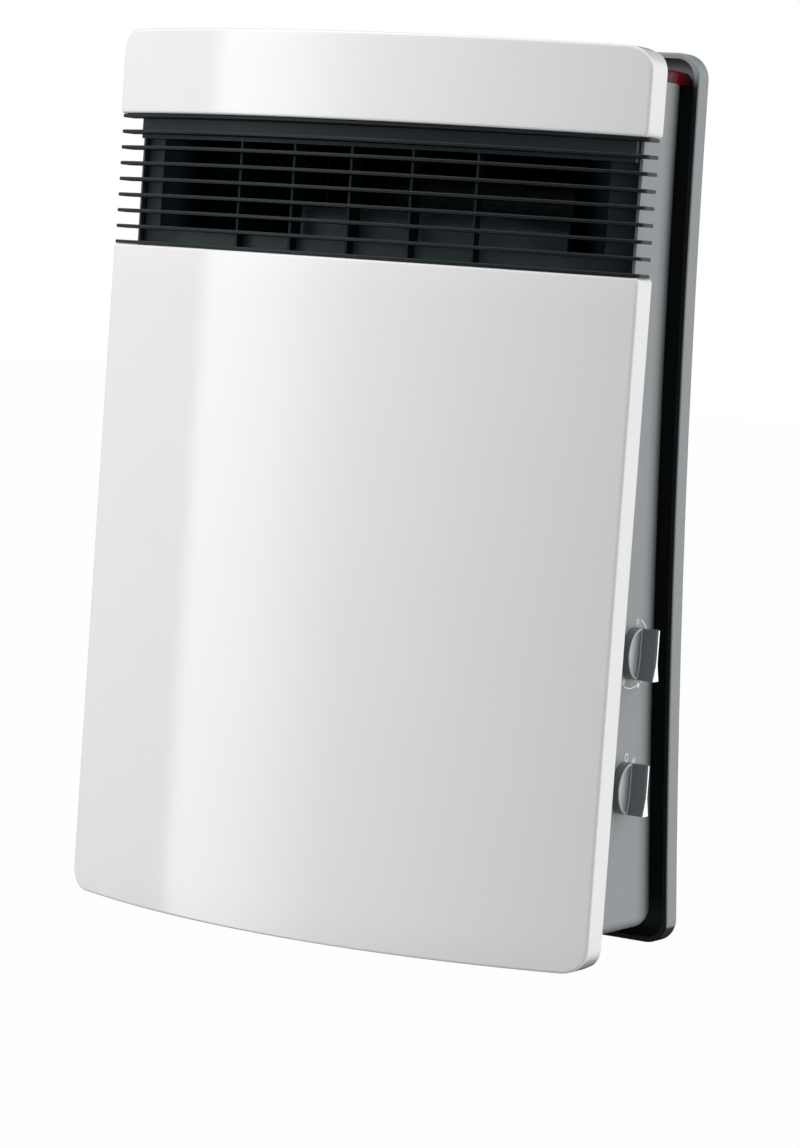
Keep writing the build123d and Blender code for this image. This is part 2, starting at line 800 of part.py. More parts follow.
def end_plate(x, ear_x):
    """One end plate of the casing with the ear that is screwed to the housing."""
    ear_y = ear_face_y(ear_x)
    with BuildPart() as plate:
        with BuildSketch(at_x(x)):
            with BuildLine():
                Polyline(
                    (plate_back_y, plate_bottom_z),
                    (plate_back_y, throat_high + casing_wall),
                    (throat_y + seat_gap, throat_high + casing_wall),
                    (throat_y + seat_gap, plate_neck_z),
                    (plate_neck_y, plate_neck_z),
                    (plate_neck_y, plate_leg_top_z),
                    (ear_y, plate_leg_top_z),
                    (ear_y, plate_leg_bottom_z),
                    (plate_chin_y, plate_bottom_z),
                    close=True,
                )
            make_face()
            fillet(vertices().group_by(Axis.Y)[0], plate_corner)
            with Locations(element_peg_places):
                Circle(element_peg_radius, mode=Mode.SUBTRACT)
        extrude(amount=casing_wall)
        with BuildSketch(at_y(ear_y + casing_wall)):
            with Locations((ear_x, (plate_leg_bottom_z + plate_leg_top_z) / 2)):
                Rectangle(ear_width, plate_leg_top_z - plate_leg_bottom_z)
                Circle(small_screw_radius + screw_clearance, mode=Mode.SUBTRACT)
        extrude(amount=casing_wall)
    return plate.part


left_plate_x = casing_left_x - casing_wall
element_peg_places = [
    (y, element_bottom_z + element_height / 2)
    for y in (element_front_y + element_peg_inset, element_back_y - element_peg_inset)
]
guide_corner_z = throat_high + casing_wall / 2
motor_screw_places = [(fan_axis_y + side * bracket_span / 2, fan_axis_z) for side in (-1, 1)]
bracket_right_x = stator_left_x + stator_thickness

with BuildPart() as fan_casing:
    add(end_plate(left_plate_x, ear_places[0][0]))
    add(end_plate(casing_right_x, ear_places[1][0]))
    with BuildSketch(at_x(casing_left_x)):
        with BuildLine():
            FilletPolyline(
                (guide_back_y + guide_swing, guide_bottom_z),
                (guide_back_y, guide_straight_z),
                (guide_back_y, guide_corner_z),
                (throat_y + seat_gap, guide_corner_z),
                radius=guide_bend,
            )
        trace(line_width=casing_wall)
    extrude(amount=casing_right_x - casing_left_x)
    # bosses that carry the motor, with the holes for its screws and for the shaft
    with BuildSketch(at_x(left_plate_x)):
        with Locations(motor_screw_places):
            Circle(motor_boss_radius)
    extrude(amount=bracket_right_x + bracket_wall - left_plate_x)
    with BuildSketch(at_x(casing_left_x)):
        with Locations(motor_screw_places):
            Circle(motor_screw_radius + screw_clearance)
    extrude(amount=bracket_right_x - casing_left_x, mode=Mode.SUBTRACT)
    add(round_x(left_plate_x - overrun, casing_wall + 2 * overrun, shaft_way_radius), mode=Mode.SUBTRACT)
    add(round_x(casing_right_x - overrun, casing_wall + 2 * overrun, bush_radius), mode=Mode.SUBTRACT)
save(fan_casing.part, "fan_casing")

with BuildPart() as air_tongue:
    with BuildSketch(at_x(casing_left_x + seat_gap)):
        with BuildLine():
            FilletPolyline(
                (lip_back_y + seat_gap + tongue_wall / 2, tongue_top_z),
                (lip_back_y + seat_gap + tongue_wall / 2, tongue_tip_z),
                (lip_back_y - tongue_hook, tongue_tip_z - tongue_hook / 2),
                radius=tongue_bend,
            )
        trace(line_width=tongue_wall)
    extrude(amount=casing_right_x - casing_left_x - 2 * seat_gap)
save(air_tongue.part, "air_tongue")


# Fan: a drum of curved blades between discs, on a shaft that it shares with the motor's rotor

fan_length = fan_right_x - fan_left_x
blade_inner_radius = fan_radius - blade_depth

with BuildPart() as blade:
    with BuildSketch(at_x(fan_left_x)):
        with BuildLine():
            tip = Vector(fan_radius - blade_thickness / 2, 0)
            root = Vector(blade_inner_radius, 0).rotate(Axis.Z, blade_lean)
            across = (tip - root).normalized().rotate(Axis.Z, blade_lean - 90) * blade_thickness
            RadiusArc(tip, root, blade_curve_radius)
            Line(root, root + across)
            RadiusArc(root + across, tip + across, -blade_curve_radius)
            Line(tip + across, tip)
        make_face()
    extrude(amount=fan_length)

with BuildPart() as fan_rotor:
    for index in range(blade_count):
        add(Pos(0, fan_axis_y, fan_axis_z) * Rot(index * 360 / blade_count, 0, 0) * blade.part)
    disc_pitch = (fan_length - fan_disc) / (middle_discs + 1)
    for index in range(middle_discs + 2):
        add(round_x(fan_left_x + index * disc_pitch, fan_disc, fan_radius))
    for index in range(middle_discs):
        disc_x = fan_left_x + (index + 1) * disc_pitch
        add(round_x(disc_x, fan_disc, blade_inner_radius), mode=Mode.SUBTRACT)
    add(round_x(fan_left_x, hub_length, hub_radius))
    add(round_x(fan_right_x - hub_length, hub_length, hub_radius))
    add(round_x(fan_left_x, fan_length, shaft_radius), mode=Mode.SUBTRACT)
save(fan_rotor.part, "fan_rotor")

save(round_x(shaft_left_x, shaft_right_x - shaft_left_x, shaft_radius), "fan_shaft")


def bush(flange_x, flange_side, length):
    """Plain bearing: a flanged bush along X whose flange lies at flange_x, on the given side."""
    with BuildPart() as sleeve:
        add(round_x(flange_x, flange_side * end_bush_flange_wall, end_bush_flange))
        add(round_x(flange_x + flange_side * end_bush_flange_wall, -flange_side * length, bush_radius))
        add(round_x(flange_x - length, 2 * length, shaft_radius + running_clearance), mode=Mode.SUBTRACT)
    return sleeve.part


save(bush(casing_right_x + casing_wall, 1, end_bush_length), "fan_end_bush")


# Motor: laminated core with a coil on its lower limb, held between two brackets with bushes

stator_centre_z = fan_axis_z - stator_drop
stator_bottom_z = stator_centre_z - stator_height / 2
limb_z = stator_bottom_z + stator_limb / 2

with BuildPart() as motor_core:
    with BuildSketch(at_x(stator_left_x)):
        with Locations((fan_axis_y, stator_centre_z)):
            RectangleRounded(stator_width, stator_height, stator_corner)
        with Locations((fan_axis_y, stator_bottom_z + stator_limb + stator_window_height / 2)):
            Rectangle(stator_window_width, stator_window_height, mode=Mode.SUBTRACT)
        with Locations((fan_axis_y, fan_axis_z)):
            Circle(stator_bore, mode=Mode.SUBTRACT)
        with Locations(motor_screw_places):
            Circle(motor_screw_radius + screw_clearance, mode=Mode.SUBTRACT)
    extrude(amount=stator_thickness)
save(motor_core.part, "motor_core")

with BuildPart() as motor_coil:
    limb_middle = (stator_left_x + stator_thickness / 2, fan_axis_y, limb_z)
    with Locations(limb_middle):
        Box(stator_thickness + 2 * coil_wall, coil_width, stator_limb + 2 * coil_wall)
    fillet(motor_coil.edges().filter_by(Axis.Y), coil_round)
    with Locations(limb_middle):
        Box(stator_thickness, coil_width, stator_limb, mode=Mode.SUBTRACT)
save(motor_coil.part, "motor_coil")

with BuildPart() as motor_rotor:
    add(round_x(stator_left_x, stator_thickness, stator_bore - motor_rotor_gap))
    add(round_x(stator_left_x, stator_thickness, shaft_radius), mode=Mode.SUBTRACT)
save(motor_rotor.part, "motor_rotor")


def motor_bracket(face_x, side):
    """Bent strip that spans the core's bore, standing off from the core on the given side."""
    foot_y = stator_width / 2
    inner_x = face_x + side * bracket_wall / 2
    outer_x = inner_x + side * bracket_rise
    with BuildPart() as bracket:
        with BuildSketch(Plane.XY.offset(fan_axis_z - bracket_width / 2)):
            with BuildLine():
                Polyline(
                    (inner_x, fan_axis_y - foot_y),
                    (inner_x, fan_axis_y - bracket_foot_y),
                    (outer_x, fan_axis_y - bracket_head_y),
                    (outer_x, fan_axis_y + bracket_head_y),
                    (inner_x, fan_axis_y + bracket_foot_y),
                    (inner_x, fan_axis_y + foot_y),
                )
            trace(line_width=bracket_wall)
        extrude(amount=bracket_width)
        add(round_x(face_x - bracket_width, 2 * bracket_width, bush_radius), mode=Mode.SUBTRACT)
        with BuildSketch(at_x(face_x - overrun)):
            with Locations(motor_screw_places):
                Circle(motor_screw_radius + screw_clearance)
        extrude(amount=2 * overrun, mode=Mode.SUBTRACT)
    return bracket.part


save(motor_bracket(stator_left_x, -1), "motor_bracket_left")
save(motor_bracket(bracket_right_x, 1), "motor_bracket_right")
left_bush_x = stator_left_x - bracket_rise - bracket_wall
right_bush_x = bracket_right_x + bracket_rise + bracket_wall
save(bush(left_bush_x, -1, bush_length), "motor_bush_left")
save(bush(right_bush_x, 1, bush_length), "motor_bush_right")


# Heating element: a frame across the duct that holds metal bars with folded fins between them

element_left_x = casing_left_x + element_side_gap
element_length = casing_right_x - casing_left_x - 2 * element_side_gap
element_depth = element_back_y - element_front_y
inner_length = element_length - 2 * element_frame_wall
inner_depth = element_depth - 2 * element_frame_wall
fin_row_depth = (inner_depth - element_bars * element_bar_width) / (element_bars + 1)
bar_pitch = fin_row_depth + element_bar_width

with BuildPart() as element_frame:
    with BuildSketch(Plane.XY.offset(element_bottom_z)):
        with Locations((element_left_x, element_front_y)):
            Rectangle(element_length, element_depth, align=Align.MIN)
        with Locations((element_left_x + element_frame_wall, element_front_y + element_frame_wall)):
            Rectangle(inner_length, inner_depth, align=Align.MIN, mode=Mode.SUBTRACT)
    extrude(amount=element_height)
    # pegs that hang the frame in the end plates
    peg_reach = element_side_gap + 2 * casing_wall
    with BuildSketch(at_x(element_left_x)):
        with Locations(element_peg_places):
            Circle(element_peg_radius)
    extrude(amount=-peg_reach)
    with BuildSketch(at_x(element_left_x + element_length)):
        with Locations(element_peg_places):
            Circle(element_peg_radius)
    extrude(amount=peg_reach)
save(element_frame.part, "element_frame")

first_bar_y = element_front_y + element_frame_wall + fin_row_depth
heating_left_x = element_left_x + element_frame_wall

with BuildPart() as heating_bars:
    with BuildSketch(Plane.XY.offset(element_bottom_z)):
        for index in range(element_bars):
            with Locations((heating_left_x, first_bar_y + index * bar_pitch)):
                Rectangle(inner_length, element_bar_width, align=Align.MIN)
    extrude(amount=element_height)
save(heating_bars.part, "heating_bars")

fold_count = 2 * int(inner_length / fin_pitch)
fold_pitch = inner_length / fold_count

with BuildPart() as heating_fins:
    with BuildSketch(Plane.XY.offset(element_bottom_z + fin_inset_z)):
        for index in range(element_bars + 1):
            row_y = first_bar_y - fin_row_depth + index * bar_pitch
            folds = [
                (heating_left_x + fold * fold_pitch, row_y + fold % 2 * (fin_row_depth - fin_fold_depth))
                for fold in range(fold_count + 1)
            ]
            folds_behind = [(x, y + fin_fold_depth) for x, y in reversed(folds)]
            with BuildLine():
                Polyline(*folds, *folds_behind, close=True)
            make_face()
    extrude(amount=element_height - 2 * fin_inset_z)
save(heating_fins.part, "heating_fins")

with BuildPart() as cutout_bracket:
    cutout_low = throat_high + casing_wall
    with Locations((cutout_x, cutout_y, cutout_low)):
        Box(cutout_bracket_length, cutout_bracket_width, cutout_bracket_wall, align=low_centre)
    with Locations((cutout_x, cutout_y, cutout_low + cutout_bracket_wall)):
        Cylinder(cutout_radius + cutout_clip_wall, cutout_clip_height, align=low_centre)
        Cylinder(cutout_radius, cutout_clip_height, align=low_centre, mode=Mode.SUBTRACT)
save(cutout_bracket.part, "cutout_bracket")

with BuildPart() as thermal_cutout:
    with Locations((cutout_x, cutout_y, cutout_low + cutout_bracket_wall)):
        Cylinder(cutout_radius, cutout_height, align=low_centre)
    chamfer(thermal_cutout.edges().sort_by(Axis.Z)[-1], control_round / 2)
    for side in (-1, 1):
        tab_x = cutout_x + side * cutout_radius
        with Locations((tab_x, cutout_y, cutout_low + cutout_bracket_wall + cutout_height - control_round)):
            Box(tab_length, tab_width, tab_wall, align=(Align.CENTER, Align.CENTER, Align.MAX))
save(thermal_cutout.part, "thermal_cutout")


# Connections: terminal block on the housing's floor and the gland for the mains lead

with BuildPart() as terminal_block:
    floor_z = housing_bottom + housing_wall
    with Locations((terminal_x, terminal_y, floor_z)):
        Box(terminal_length, terminal_width, terminal_height, align=low_centre)
    fillet(terminal_block.faces().sort_by(Axis.Z)[-1].edges(), control_round / 2)
    well_pitch = terminal_length / terminal_ways
    with BuildSketch(Plane.XY.offset(floor_z + terminal_height)):
        with Locations((terminal_x, terminal_y)):
            with GridLocations(well_pitch, terminal_width / 2, terminal_ways, 2):
                Circle(terminal_well)
    extrude(amount=-terminal_well_depth, mode=Mode.SUBTRACT)
save(terminal_block.part, "terminal_block")

with BuildPart() as cord_gland:
    with BuildSketch(gland_plane.offset(seat_gap)):
        Circle(gland_flange)
        Circle(gland_bore, mode=Mode.SUBTRACT)
    extrude(amount=gland_flange_wall)
    outer_rim = cord_gland.faces().sort_by(Axis.Y)[-1].edges().sort_by(SortBy.LENGTH)[-1]
    fillet(outer_rim, control_round / 2)
    with BuildSketch(gland_plane.offset(seat_gap)):
        Circle(gland_radius)
        Circle(gland_bore, mode=Mode.SUBTRACT)
    extrude(amount=-gland_inner_length)
save(cord_gland.part, "cord_gland")


# Controls: a plate on four pads inside the right wall carries the thermostat and the selector

pad_face_x = half_housing - housing_wall - control_pad_height
plate_inner_x = pad_face_x - control_plate_wall
switch_bush_end_x = pad_face_x + switch_bush_rise
knob_back_x = half_housing + knob_wall_gap
knob_places = ((knob_y, thermostat_z), (knob_y, selector_z))

with BuildPart() as control_plate:
    with BuildSketch(at_x(plate_inner_x)):
        with Locations((knob_y, (pad_low_z + pad_high_z) / 2)):
            RectangleRounded(control_plate_width, pad_high_z - pad_low_z, control_pad_radius)
        with Locations(pad_places):
            Circle(small_screw_radius + screw_clearance, mode=Mode.SUBTRACT)
        with Locations(knob_places):
            Circle(switch_bush_radius, mode=Mode.SUBTRACT)
    extrude(amount=control_plate_wall)
save(control_plate.part, "control_plate")


def switch(z, width, height, depth, tab_rows):
    """Body of a rotary control behind the plate: its bush comes through and its tabs point inwards."""
    with BuildPart() as body:
        with BuildSketch(at_x(plate_inner_x)):
            with Locations((knob_y, z)):
                Rectangle(width, height)
        extrude(amount=-depth)
        fillet(body.edges(), control_round)
        with BuildSketch(at_x(plate_inner_x - control_round)):
            with Locations((knob_y, z)):
                Circle(switch_bush_radius)
        extrude(amount=switch_bush_end_x - plate_inner_x + control_round)
        with BuildSketch(at_x(switch_bush_end_x)):
            with Locations((knob_y, z)):
                Circle(knob_shaft_radius + running_clearance)
        extrude(amount=-knob_shaft_grip, mode=Mode.SUBTRACT)
        with BuildSketch(at_x(plate_inner_x - depth)):
            with Locations((knob_y, z)):
                with GridLocations(width / 2, tab_pitch, 2, tab_rows):
                    Rectangle(tab_width, tab_wall)
        extrude(amount=-tab_length)
    return body.part


save(switch(thermostat_z, thermostat_width, thermostat_height, thermostat_depth, 1), "thermostat")
save(switch(selector_z, selector_width, selector_height, selector_depth, 3), "selector_switch")


def knob_shaft(z):
    """Round spindle that reaches from the knob's hub into the control."""
    shaft_end_x = switch_bush_end_x - knob_shaft_grip + knob_shaft_end_gap
    with BuildPart() as spindle:
        with BuildSketch(at_x(shaft_end_x)):
            with Locations((knob_y, z)):
                Circle(knob_shaft_radius)
        extrude(amount=knob_face_x - knob_shaft_cover - shaft_end_x)
    return spindle.part


def grip_outline(x, narrow, wide, reach):
    """Face of the knob's grip: even in its upper half and flaring below, to its width at the rim."""
    end_width = narrow + (wide - narrow) * reach / knob_radius
    with BuildSketch(at_x(x)) as outline:
        with Locations((knob_y, 0)):
            with BuildLine():
                Polyline(
                    (-narrow / 2, reach),
                    (-narrow / 2, 0),
                    (-end_width / 2, -reach),
                    (end_width / 2, -reach),
                    (narrow / 2, 0),
                    (narrow / 2, reach),
                    close=True,
                )
            make_face()
    return outline.sketch


def knob(z):
    """Round knob with a standing grip whose foot is scooped out of the disc, and a hub for the shaft."""
    with BuildPart() as turned:
        with BuildSketch(at_x(knob_back_x)):
            with Locations((knob_y, 0)):
                Rectangle(4 * knob_radius, 4 * knob_radius)
        extrude(amount=knob_disc)
        grip_foot = grip_outline(knob_face_x, grip_narrow, grip_wide, knob_radius + overrun)
        extrude(grip_foot, amount=grip_height, taper=grip_taper)
        face_edges = turned.faces().filter_by(Plane.YZ).sort_by(Axis.X)[1].inner_wires()[0].edges()
        fillet([e for e in face_edges if e.length > grip_wide * 2], grip_scoop)
        with BuildSketch(at_x(knob_back_x)):
            with Locations((knob_y, 0)):
                Circle(knob_radius)
        extrude(amount=knob_disc + grip_height, mode=Mode.INTERSECT)
        with BuildSketch(at_x(knob_back_x)):
            with Locations((knob_y, 0)):
                Circle(knob_hub_radius)
        extrude(amount=switch_bush_end_x + knob_hub_gap - knob_back_x)
        with BuildSketch(at_x(switch_bush_end_x)):
            with Locations((knob_y, 0)):
                Circle(knob_shaft_radius)
        extrude(amount=knob_face_x - knob_shaft_cover - switch_bush_end_x, mode=Mode.SUBTRACT)
    return turned.part.moved(Location((0, 0, z)))


def knob_inlay(z):
    """Thin bright strip on the end of a knob's grip."""
    with BuildPart() as strip:
        extrude(grip_outline(grip_end_x, inlay_narrow, inlay_wide, knob_radius), amount=inlay_wall)
        with BuildSketch(at_x(grip_end_x)):
            with Locations((knob_y, 0)):
                Circle(knob_radius - inlay_wall)
        extrude(amount=inlay_wall, mode=Mode.INTERSECT)
    return strip.part.moved(Location((0, 0, z)))


for name, z in (("thermostat", thermostat_z), ("selector", selector_z)):
    save(knob_shaft(z), f"{name}_shaft")
    save(knob(z), f"{name}_knob")
    save(knob_inlay(z), f"{name}_knob_inlay")


# Signal lens on the housing's top corner, lit from below by a small lamp

with BuildPart() as signal_lens:
    with Locations((lamp_x, lamp_y, lens_low)):
        Box(lens_length, lens_depth, lens_height, align=low_centre)
    fillet(signal_lens.faces().sort_by(Axis.Z)[-1].edges().sort_by(Axis.Y)[-1], lens_back_round)
    fillet(signal_lens.faces().sort_by(Axis.Z)[-1].edges().sort_by(Axis.Y)[0], lens_edge)
    fillet(signal_lens.faces().sort_by(Axis.Z)[-1].edges().sort_by(Axis.X)[-1], lens_end_round)
    with Locations((lamp_x, lamp_y, lens_low)):
        Cylinder(lens_hollow_radius, lens_height - lens_wall, align=low_centre, mode=Mode.SUBTRACT)
save(signal_lens.part, "signal_lens")

with BuildPart() as signal_lamp:
    lamp_top_z = housing_top - lens_wall - lamp_clearance
    collar_z = lens_low - housing_wall - lamp_collar_wall
    with Locations((lamp_x, lamp_y, lamp_top_z - lamp_length)):
        Cylinder(lamp_radius, lamp_length, align=low_centre)
    chamfer(signal_lamp.edges().sort_by(Axis.Z)[-1], lamp_clearance)
    with Locations((lamp_x, lamp_y, collar_z)):
        Cylinder(lamp_collar_radius, lamp_collar_wall, align=low_centre)
save(signal_lamp.part, "signal_lamp")


# Feet: rubber plugs under the housing


def foot(x, y):
    """Rubber foot with a plug that snaps through the housing's floor."""
    with BuildPart() as plug:
        with Locations((x, y, 0)):
            Cone(foot_radius - foot_taper, foot_radius, housing_bottom, align=low_centre)
            Cylinder(foot_plug_radius, housing_bottom + housing_wall, align=low_centre)
        with Locations((x, y, housing_bottom + housing_wall)):
            Cone(foot_plug_radius + foot_plug_head, foot_plug_radius, foot_plug_grip, align=low_centre)
    return plug.part


save(foot(-foot_x, -foot_y), "foot_front_left")
save(foot(foot_x, -foot_y), "foot_front_right")
save(foot(-foot_x, foot_y), "foot_rear_left")
save(foot(foot_x, foot_y), "foot_rear_right")


# Fasteners: one pattern, turned to where it is driven from


def screw(radius, length, head_radius, head_wall, countersunk):
    """Slotted screw that points down, with the underside of its head at height 0."""
    slot_depth = head_wall * screw_slot_depth_share
    with BuildPart() as fastener:
        Cylinder(radius, length, align=(Align.CENTER, Align.CENTER, Align.MAX))
        if countersunk:
            with Locations((0, 0, -head_wall)):
                Cone(radius, head_radius, head_wall, align=low_centre)
            head_top = 0
        else:
            Cone(head_radius, radius, head_wall, align=low_centre)
            head_top = head_wall
        with Locations((0, 0, head_top)):
            Box(2 * head_radius, screw_slot, 2 * slot_depth, mode=Mode.SUBTRACT)
    return fastener.part


def save_screws(pattern, places, name):
    """Write one file with a screw at each place."""
    save(Compound(children=[place * pattern for place in places]), name)


from_back = Rot(-90, 0, 0)
from_left = Rot(0, -90, 0)

case_screw_head_wall = case_screw_head - case_screw_radius
case_screw = screw(case_screw_radius, case_screw_length, case_screw_head, case_screw_head_wall, True)
small_screw = screw(small_screw_radius, small_screw_length, small_screw_head, small_screw_head_wall, False)

save_screws(
    case_screw,
    [Pos(x, back_y(z), z) * from_back for x, z in case_screw_places],
    "case_screws",
)
save_screws(
    small_screw,
    [Pos(x, cover_boss_y(x), z) * from_back for x, z in cover_screw_places],
    "cover_screws",
)
save_screws(
    small_screw,
    [Pos(x, ear_face_y(x) + casing_wall, z) * from_back for x, z in ear_places],
    "casing_screws",
)
save_screws(
    small_screw,
    [Pos(plate_inner_x, y, z) * from_left for y, z in pad_places],
    "control_screws",
)
motor_screw_x = stator_left_x - bracket_wall
motor_screw_length = casing_left_x - motor_screw_x
motor_screw = screw(motor_screw_radius, motor_screw_length, motor_screw_head, motor_screw_head_wall, False)
save_screws(
    motor_screw,
    [Pos(motor_screw_x, y, z) * from_left for y, z in motor_screw_places],
    "motor_screws",
)
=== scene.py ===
# %% [markdown]
# # Compact fan heater
# A small electric heater that stands on the floor: two bowed glossy covers, a slatted air outlet
# between them, a grey housing behind, and two knobs on its right side. The solids were modelled
# before, to real sizes. Here they get their finishes, and the pieces whose curves catch the light
# are made again with finer surfaces.
#
# Everything is in metres and in the same frame as the solids, so each piece goes where they say.

# %% Load the frame
import json
import math

import bmesh
import bpy
import numpy as np
from mathutils import Matrix, Vector


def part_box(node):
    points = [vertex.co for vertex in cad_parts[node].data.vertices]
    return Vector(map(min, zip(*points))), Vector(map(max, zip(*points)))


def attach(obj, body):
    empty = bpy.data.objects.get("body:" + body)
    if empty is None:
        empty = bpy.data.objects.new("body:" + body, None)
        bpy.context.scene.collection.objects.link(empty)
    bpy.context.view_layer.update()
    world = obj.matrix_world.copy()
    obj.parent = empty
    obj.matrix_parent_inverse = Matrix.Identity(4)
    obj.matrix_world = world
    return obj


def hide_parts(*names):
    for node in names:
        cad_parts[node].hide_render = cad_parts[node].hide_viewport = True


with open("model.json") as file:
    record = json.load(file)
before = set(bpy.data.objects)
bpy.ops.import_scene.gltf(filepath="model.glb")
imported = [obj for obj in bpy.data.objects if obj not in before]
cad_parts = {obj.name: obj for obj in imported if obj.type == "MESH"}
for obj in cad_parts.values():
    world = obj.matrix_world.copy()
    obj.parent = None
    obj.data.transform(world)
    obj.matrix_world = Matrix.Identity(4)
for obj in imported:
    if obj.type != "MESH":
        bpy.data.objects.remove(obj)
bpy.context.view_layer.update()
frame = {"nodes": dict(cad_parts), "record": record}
nodes = frame["nodes"]

# %% [markdown]
# ## Camera
# The photograph looks at the heater from its front right and a little from above, and the whole
# picture is rolled by about four degrees. The roll could be put into the heater instead, but then
# it would no longer stand on its feet, so the camera takes it.

# %% Place the camera
VIEW_AZIMUTH = math.radians(30.6563)
VIEW_ELEVATION = math.radians(4.3932)
VIEW_ROLL = math.radians(4.0724)
CAMERA_PLACE = (0.92729, -1.55380, 0.31081)
LENS_MM = 117.6
SENSOR_MM = 36
NEAREST = 0.05

forward = Vector((
    -math.sin(VIEW_AZIMUTH) * math.cos(VIEW_ELEVATION),
    math.cos(VIEW_AZIMUTH) * math.cos(VIEW_ELEVATION),
    -math.sin(VIEW_ELEVATION),
))
level_right = Vector((math.cos(VIEW_AZIMUTH), math.sin(VIEW_AZIMUTH), 0))
level_up = level_right.cross(forward)
right = math.cos(VIEW_ROLL) * level_right + math.sin(VIEW_ROLL) * level_up
up = math.cos(VIEW_ROLL) * level_up - math.sin(VIEW_ROLL) * level_right

camera_data = bpy.data.cameras.new("camera")
camera_data.sensor_fit = "AUTO"
camera_data.sensor_width = SENSOR_MM
camera_data.lens = LENS_MM
camera_data.clip_start = NEAREST
camera = bpy.data.objects.new("camera", camera_data)
camera_turn = Matrix((right, up, -forward)).transposed()
camera.matrix_world = Matrix.Translation(CAMERA_PLACE) @ camera_turn.to_4x4()
scene = bpy.context.scene
scene.collection.objects.link(camera)
scene.camera = camera
print("camera at", CAMERA_PLACE)

# %% [markdown]
# ## Node helpers
# Light and materials are both made of shader nodes. A few small helpers add the nodes that come up
# again and again: a sum, a straight and a smooth change of range, and a mix of two colours.


# %% Node helpers
def link_or_set(tree, socket, value):
    """Feeds a socket from another socket, or sets it to a number or colour."""
    if isinstance(value, bpy.types.NodeSocket):
        tree.links.new(value, socket)
    elif isinstance(value, tuple):
        socket.default_value = (*value, 1)
    else:
        socket.default_value = value


def calculate(tree, operation, first, second):
    """Adds a math node on two sockets or numbers and returns its result."""
    node = tree.nodes.new("ShaderNodeMath")
    node.operation = operation
    link_or_set(tree, node.inputs[0], first)
    link_or_set(tree, node.inputs[1], second)
    return node.outputs[0]


def ramp(tree, source, low, high, low_value=0, high_value=1):
    """Maps a value from low..high to low_value..high_value."""
    node = tree.nodes.new("ShaderNodeMapRange")
    node.inputs["From Min"].default_value = low
    node.inputs["From Max"].default_value = high
    node.inputs["To Min"].default_value = low_value
    node.inputs["To Max"].default_value = high_value
    tree.links.new(source, node.inputs["Value"])
    return node.outputs["Result"]


def soft_step(tree, value, zero_at, one_at):
    """0 at one value, 1 at the other, and a smooth step between."""
    result = ramp(tree, value, zero_at, one_at)
    result.node.interpolation_type = "SMOOTHSTEP"
    return result


def mix_colours(tree, factor, first, second):
    """Mixes two colours or colour sockets by a factor socket: 0 gives the first, 1 the second."""
    node = tree.nodes.new("ShaderNodeMix")
    node.data_type = "RGBA"
    link_or_set(tree, node.inputs["A"], first)
    link_or_set(tree, node.inputs["B"], second)
    tree.links.new(factor, node.inputs["Factor"])
    return node.outputs["Result"]


print("node helpers ready")

# %% [markdown]
# ## Light and stage
# The covers are so glossy that they show the studio more than the lamps. In the photograph a
# bright band with a sharp left edge runs down the front and fades slowly to the right. Panels could
# be built round the heater for that. A world whose brightness changes only with the direction is
# simpler: it is a ring of walls, drawn as one curve of brightness over the direction.
#
# The camera itself sees plain white, as it would on a cut-out picture.

# %% Light the studio
scene.view_settings.view_transform = "Standard"
scene.view_settings.look = "None"

# brightness of the walls, by degrees from straight ahead of the heater towards its right side: dim
# at the far left, a bright panel, then a fade; a second panel at the back right lights the side
WALL_BRIGHTNESS = [
    (-180, 0.02), (-120, 0.25), (-100, 1.00), (-62, 0.80), (-58, 3.50), (-42, 3.15), (-24, 1.45),
    (0, 1.05), (35, 0.85), (75, 0.50), (92, 0.55), (106, 2.80), (152, 2.80), (164, 1.00),
    (174, 0.05), (180, 0.02),
]
BRIGHTEST = max(value for degrees, value in WALL_BRIGHTNESS)
STUDIO_LEVEL = 0.75
WHITE = (1, 1, 1)

world = bpy.data.worlds.new("studio")
scene.world = world
world.use_nodes = True
studio = world.node_tree
direction = studio.nodes.new("ShaderNodeTexCoord")
axes = studio.nodes.new("ShaderNodeSeparateXYZ")
studio.links.new(direction.outputs["Generated"], axes.inputs[0])
ahead = calculate(studio, "MULTIPLY", axes.outputs["Y"], -1)
angle = calculate(studio, "ARCTAN2", axes.outputs["X"], ahead)
wall = studio.nodes.new("ShaderNodeFloatCurve")
curve = wall.mapping.curves[0]
while len(curve.points) < len(WALL_BRIGHTNESS):
    curve.points.new(0.5, 0.5)
for point, (degrees, value) in zip(curve.points, WALL_BRIGHTNESS):
    point.location = ((degrees + 180) / 360, value / BRIGHTEST)
    point.handle_type = "VECTOR"
wall.mapping.update()
studio.links.new(ramp(studio, angle, -math.pi, math.pi), wall.inputs["Value"])
background = studio.nodes["Background"]
link_or_set(studio, background.inputs["Color"], WHITE)
strength = calculate(studio, "MULTIPLY", wall.outputs[0], BRIGHTEST * STUDIO_LEVEL)
studio.links.new(strength, background.inputs["Strength"])
camera_white = studio.nodes.new("ShaderNodeBackground")
link_or_set(studio, camera_white.inputs["Color"], WHITE)
light_path = studio.nodes.new("ShaderNodeLightPath")
chooser = studio.nodes.new("ShaderNodeMixShader")
studio.links.new(light_path.outputs["Is Camera Ray"], chooser.inputs[0])
studio.links.new(background.outputs[0], chooser.inputs[1])
studio.links.new(camera_white.outputs[0], chooser.inputs[2])
studio.links.new(chooser.outputs[0], studio.nodes["World Output"].inputs["Surface"])
print("walls drawn through", len(curve.points), "points")

# %% [markdown]
# One soft lamp high on the left makes the upper parts a little lighter than the lower ones. It is
# hidden from reflections, so that it adds no square spot to the covers.

# %% Hang the lamp
LAMP_PLACE = Vector((-0.65, -0.95, 1.45))
LAMP_TARGET = Vector((0, 0, 0.3))
LAMP_SIDE = 0.8
LAMP_POWER = 10.6

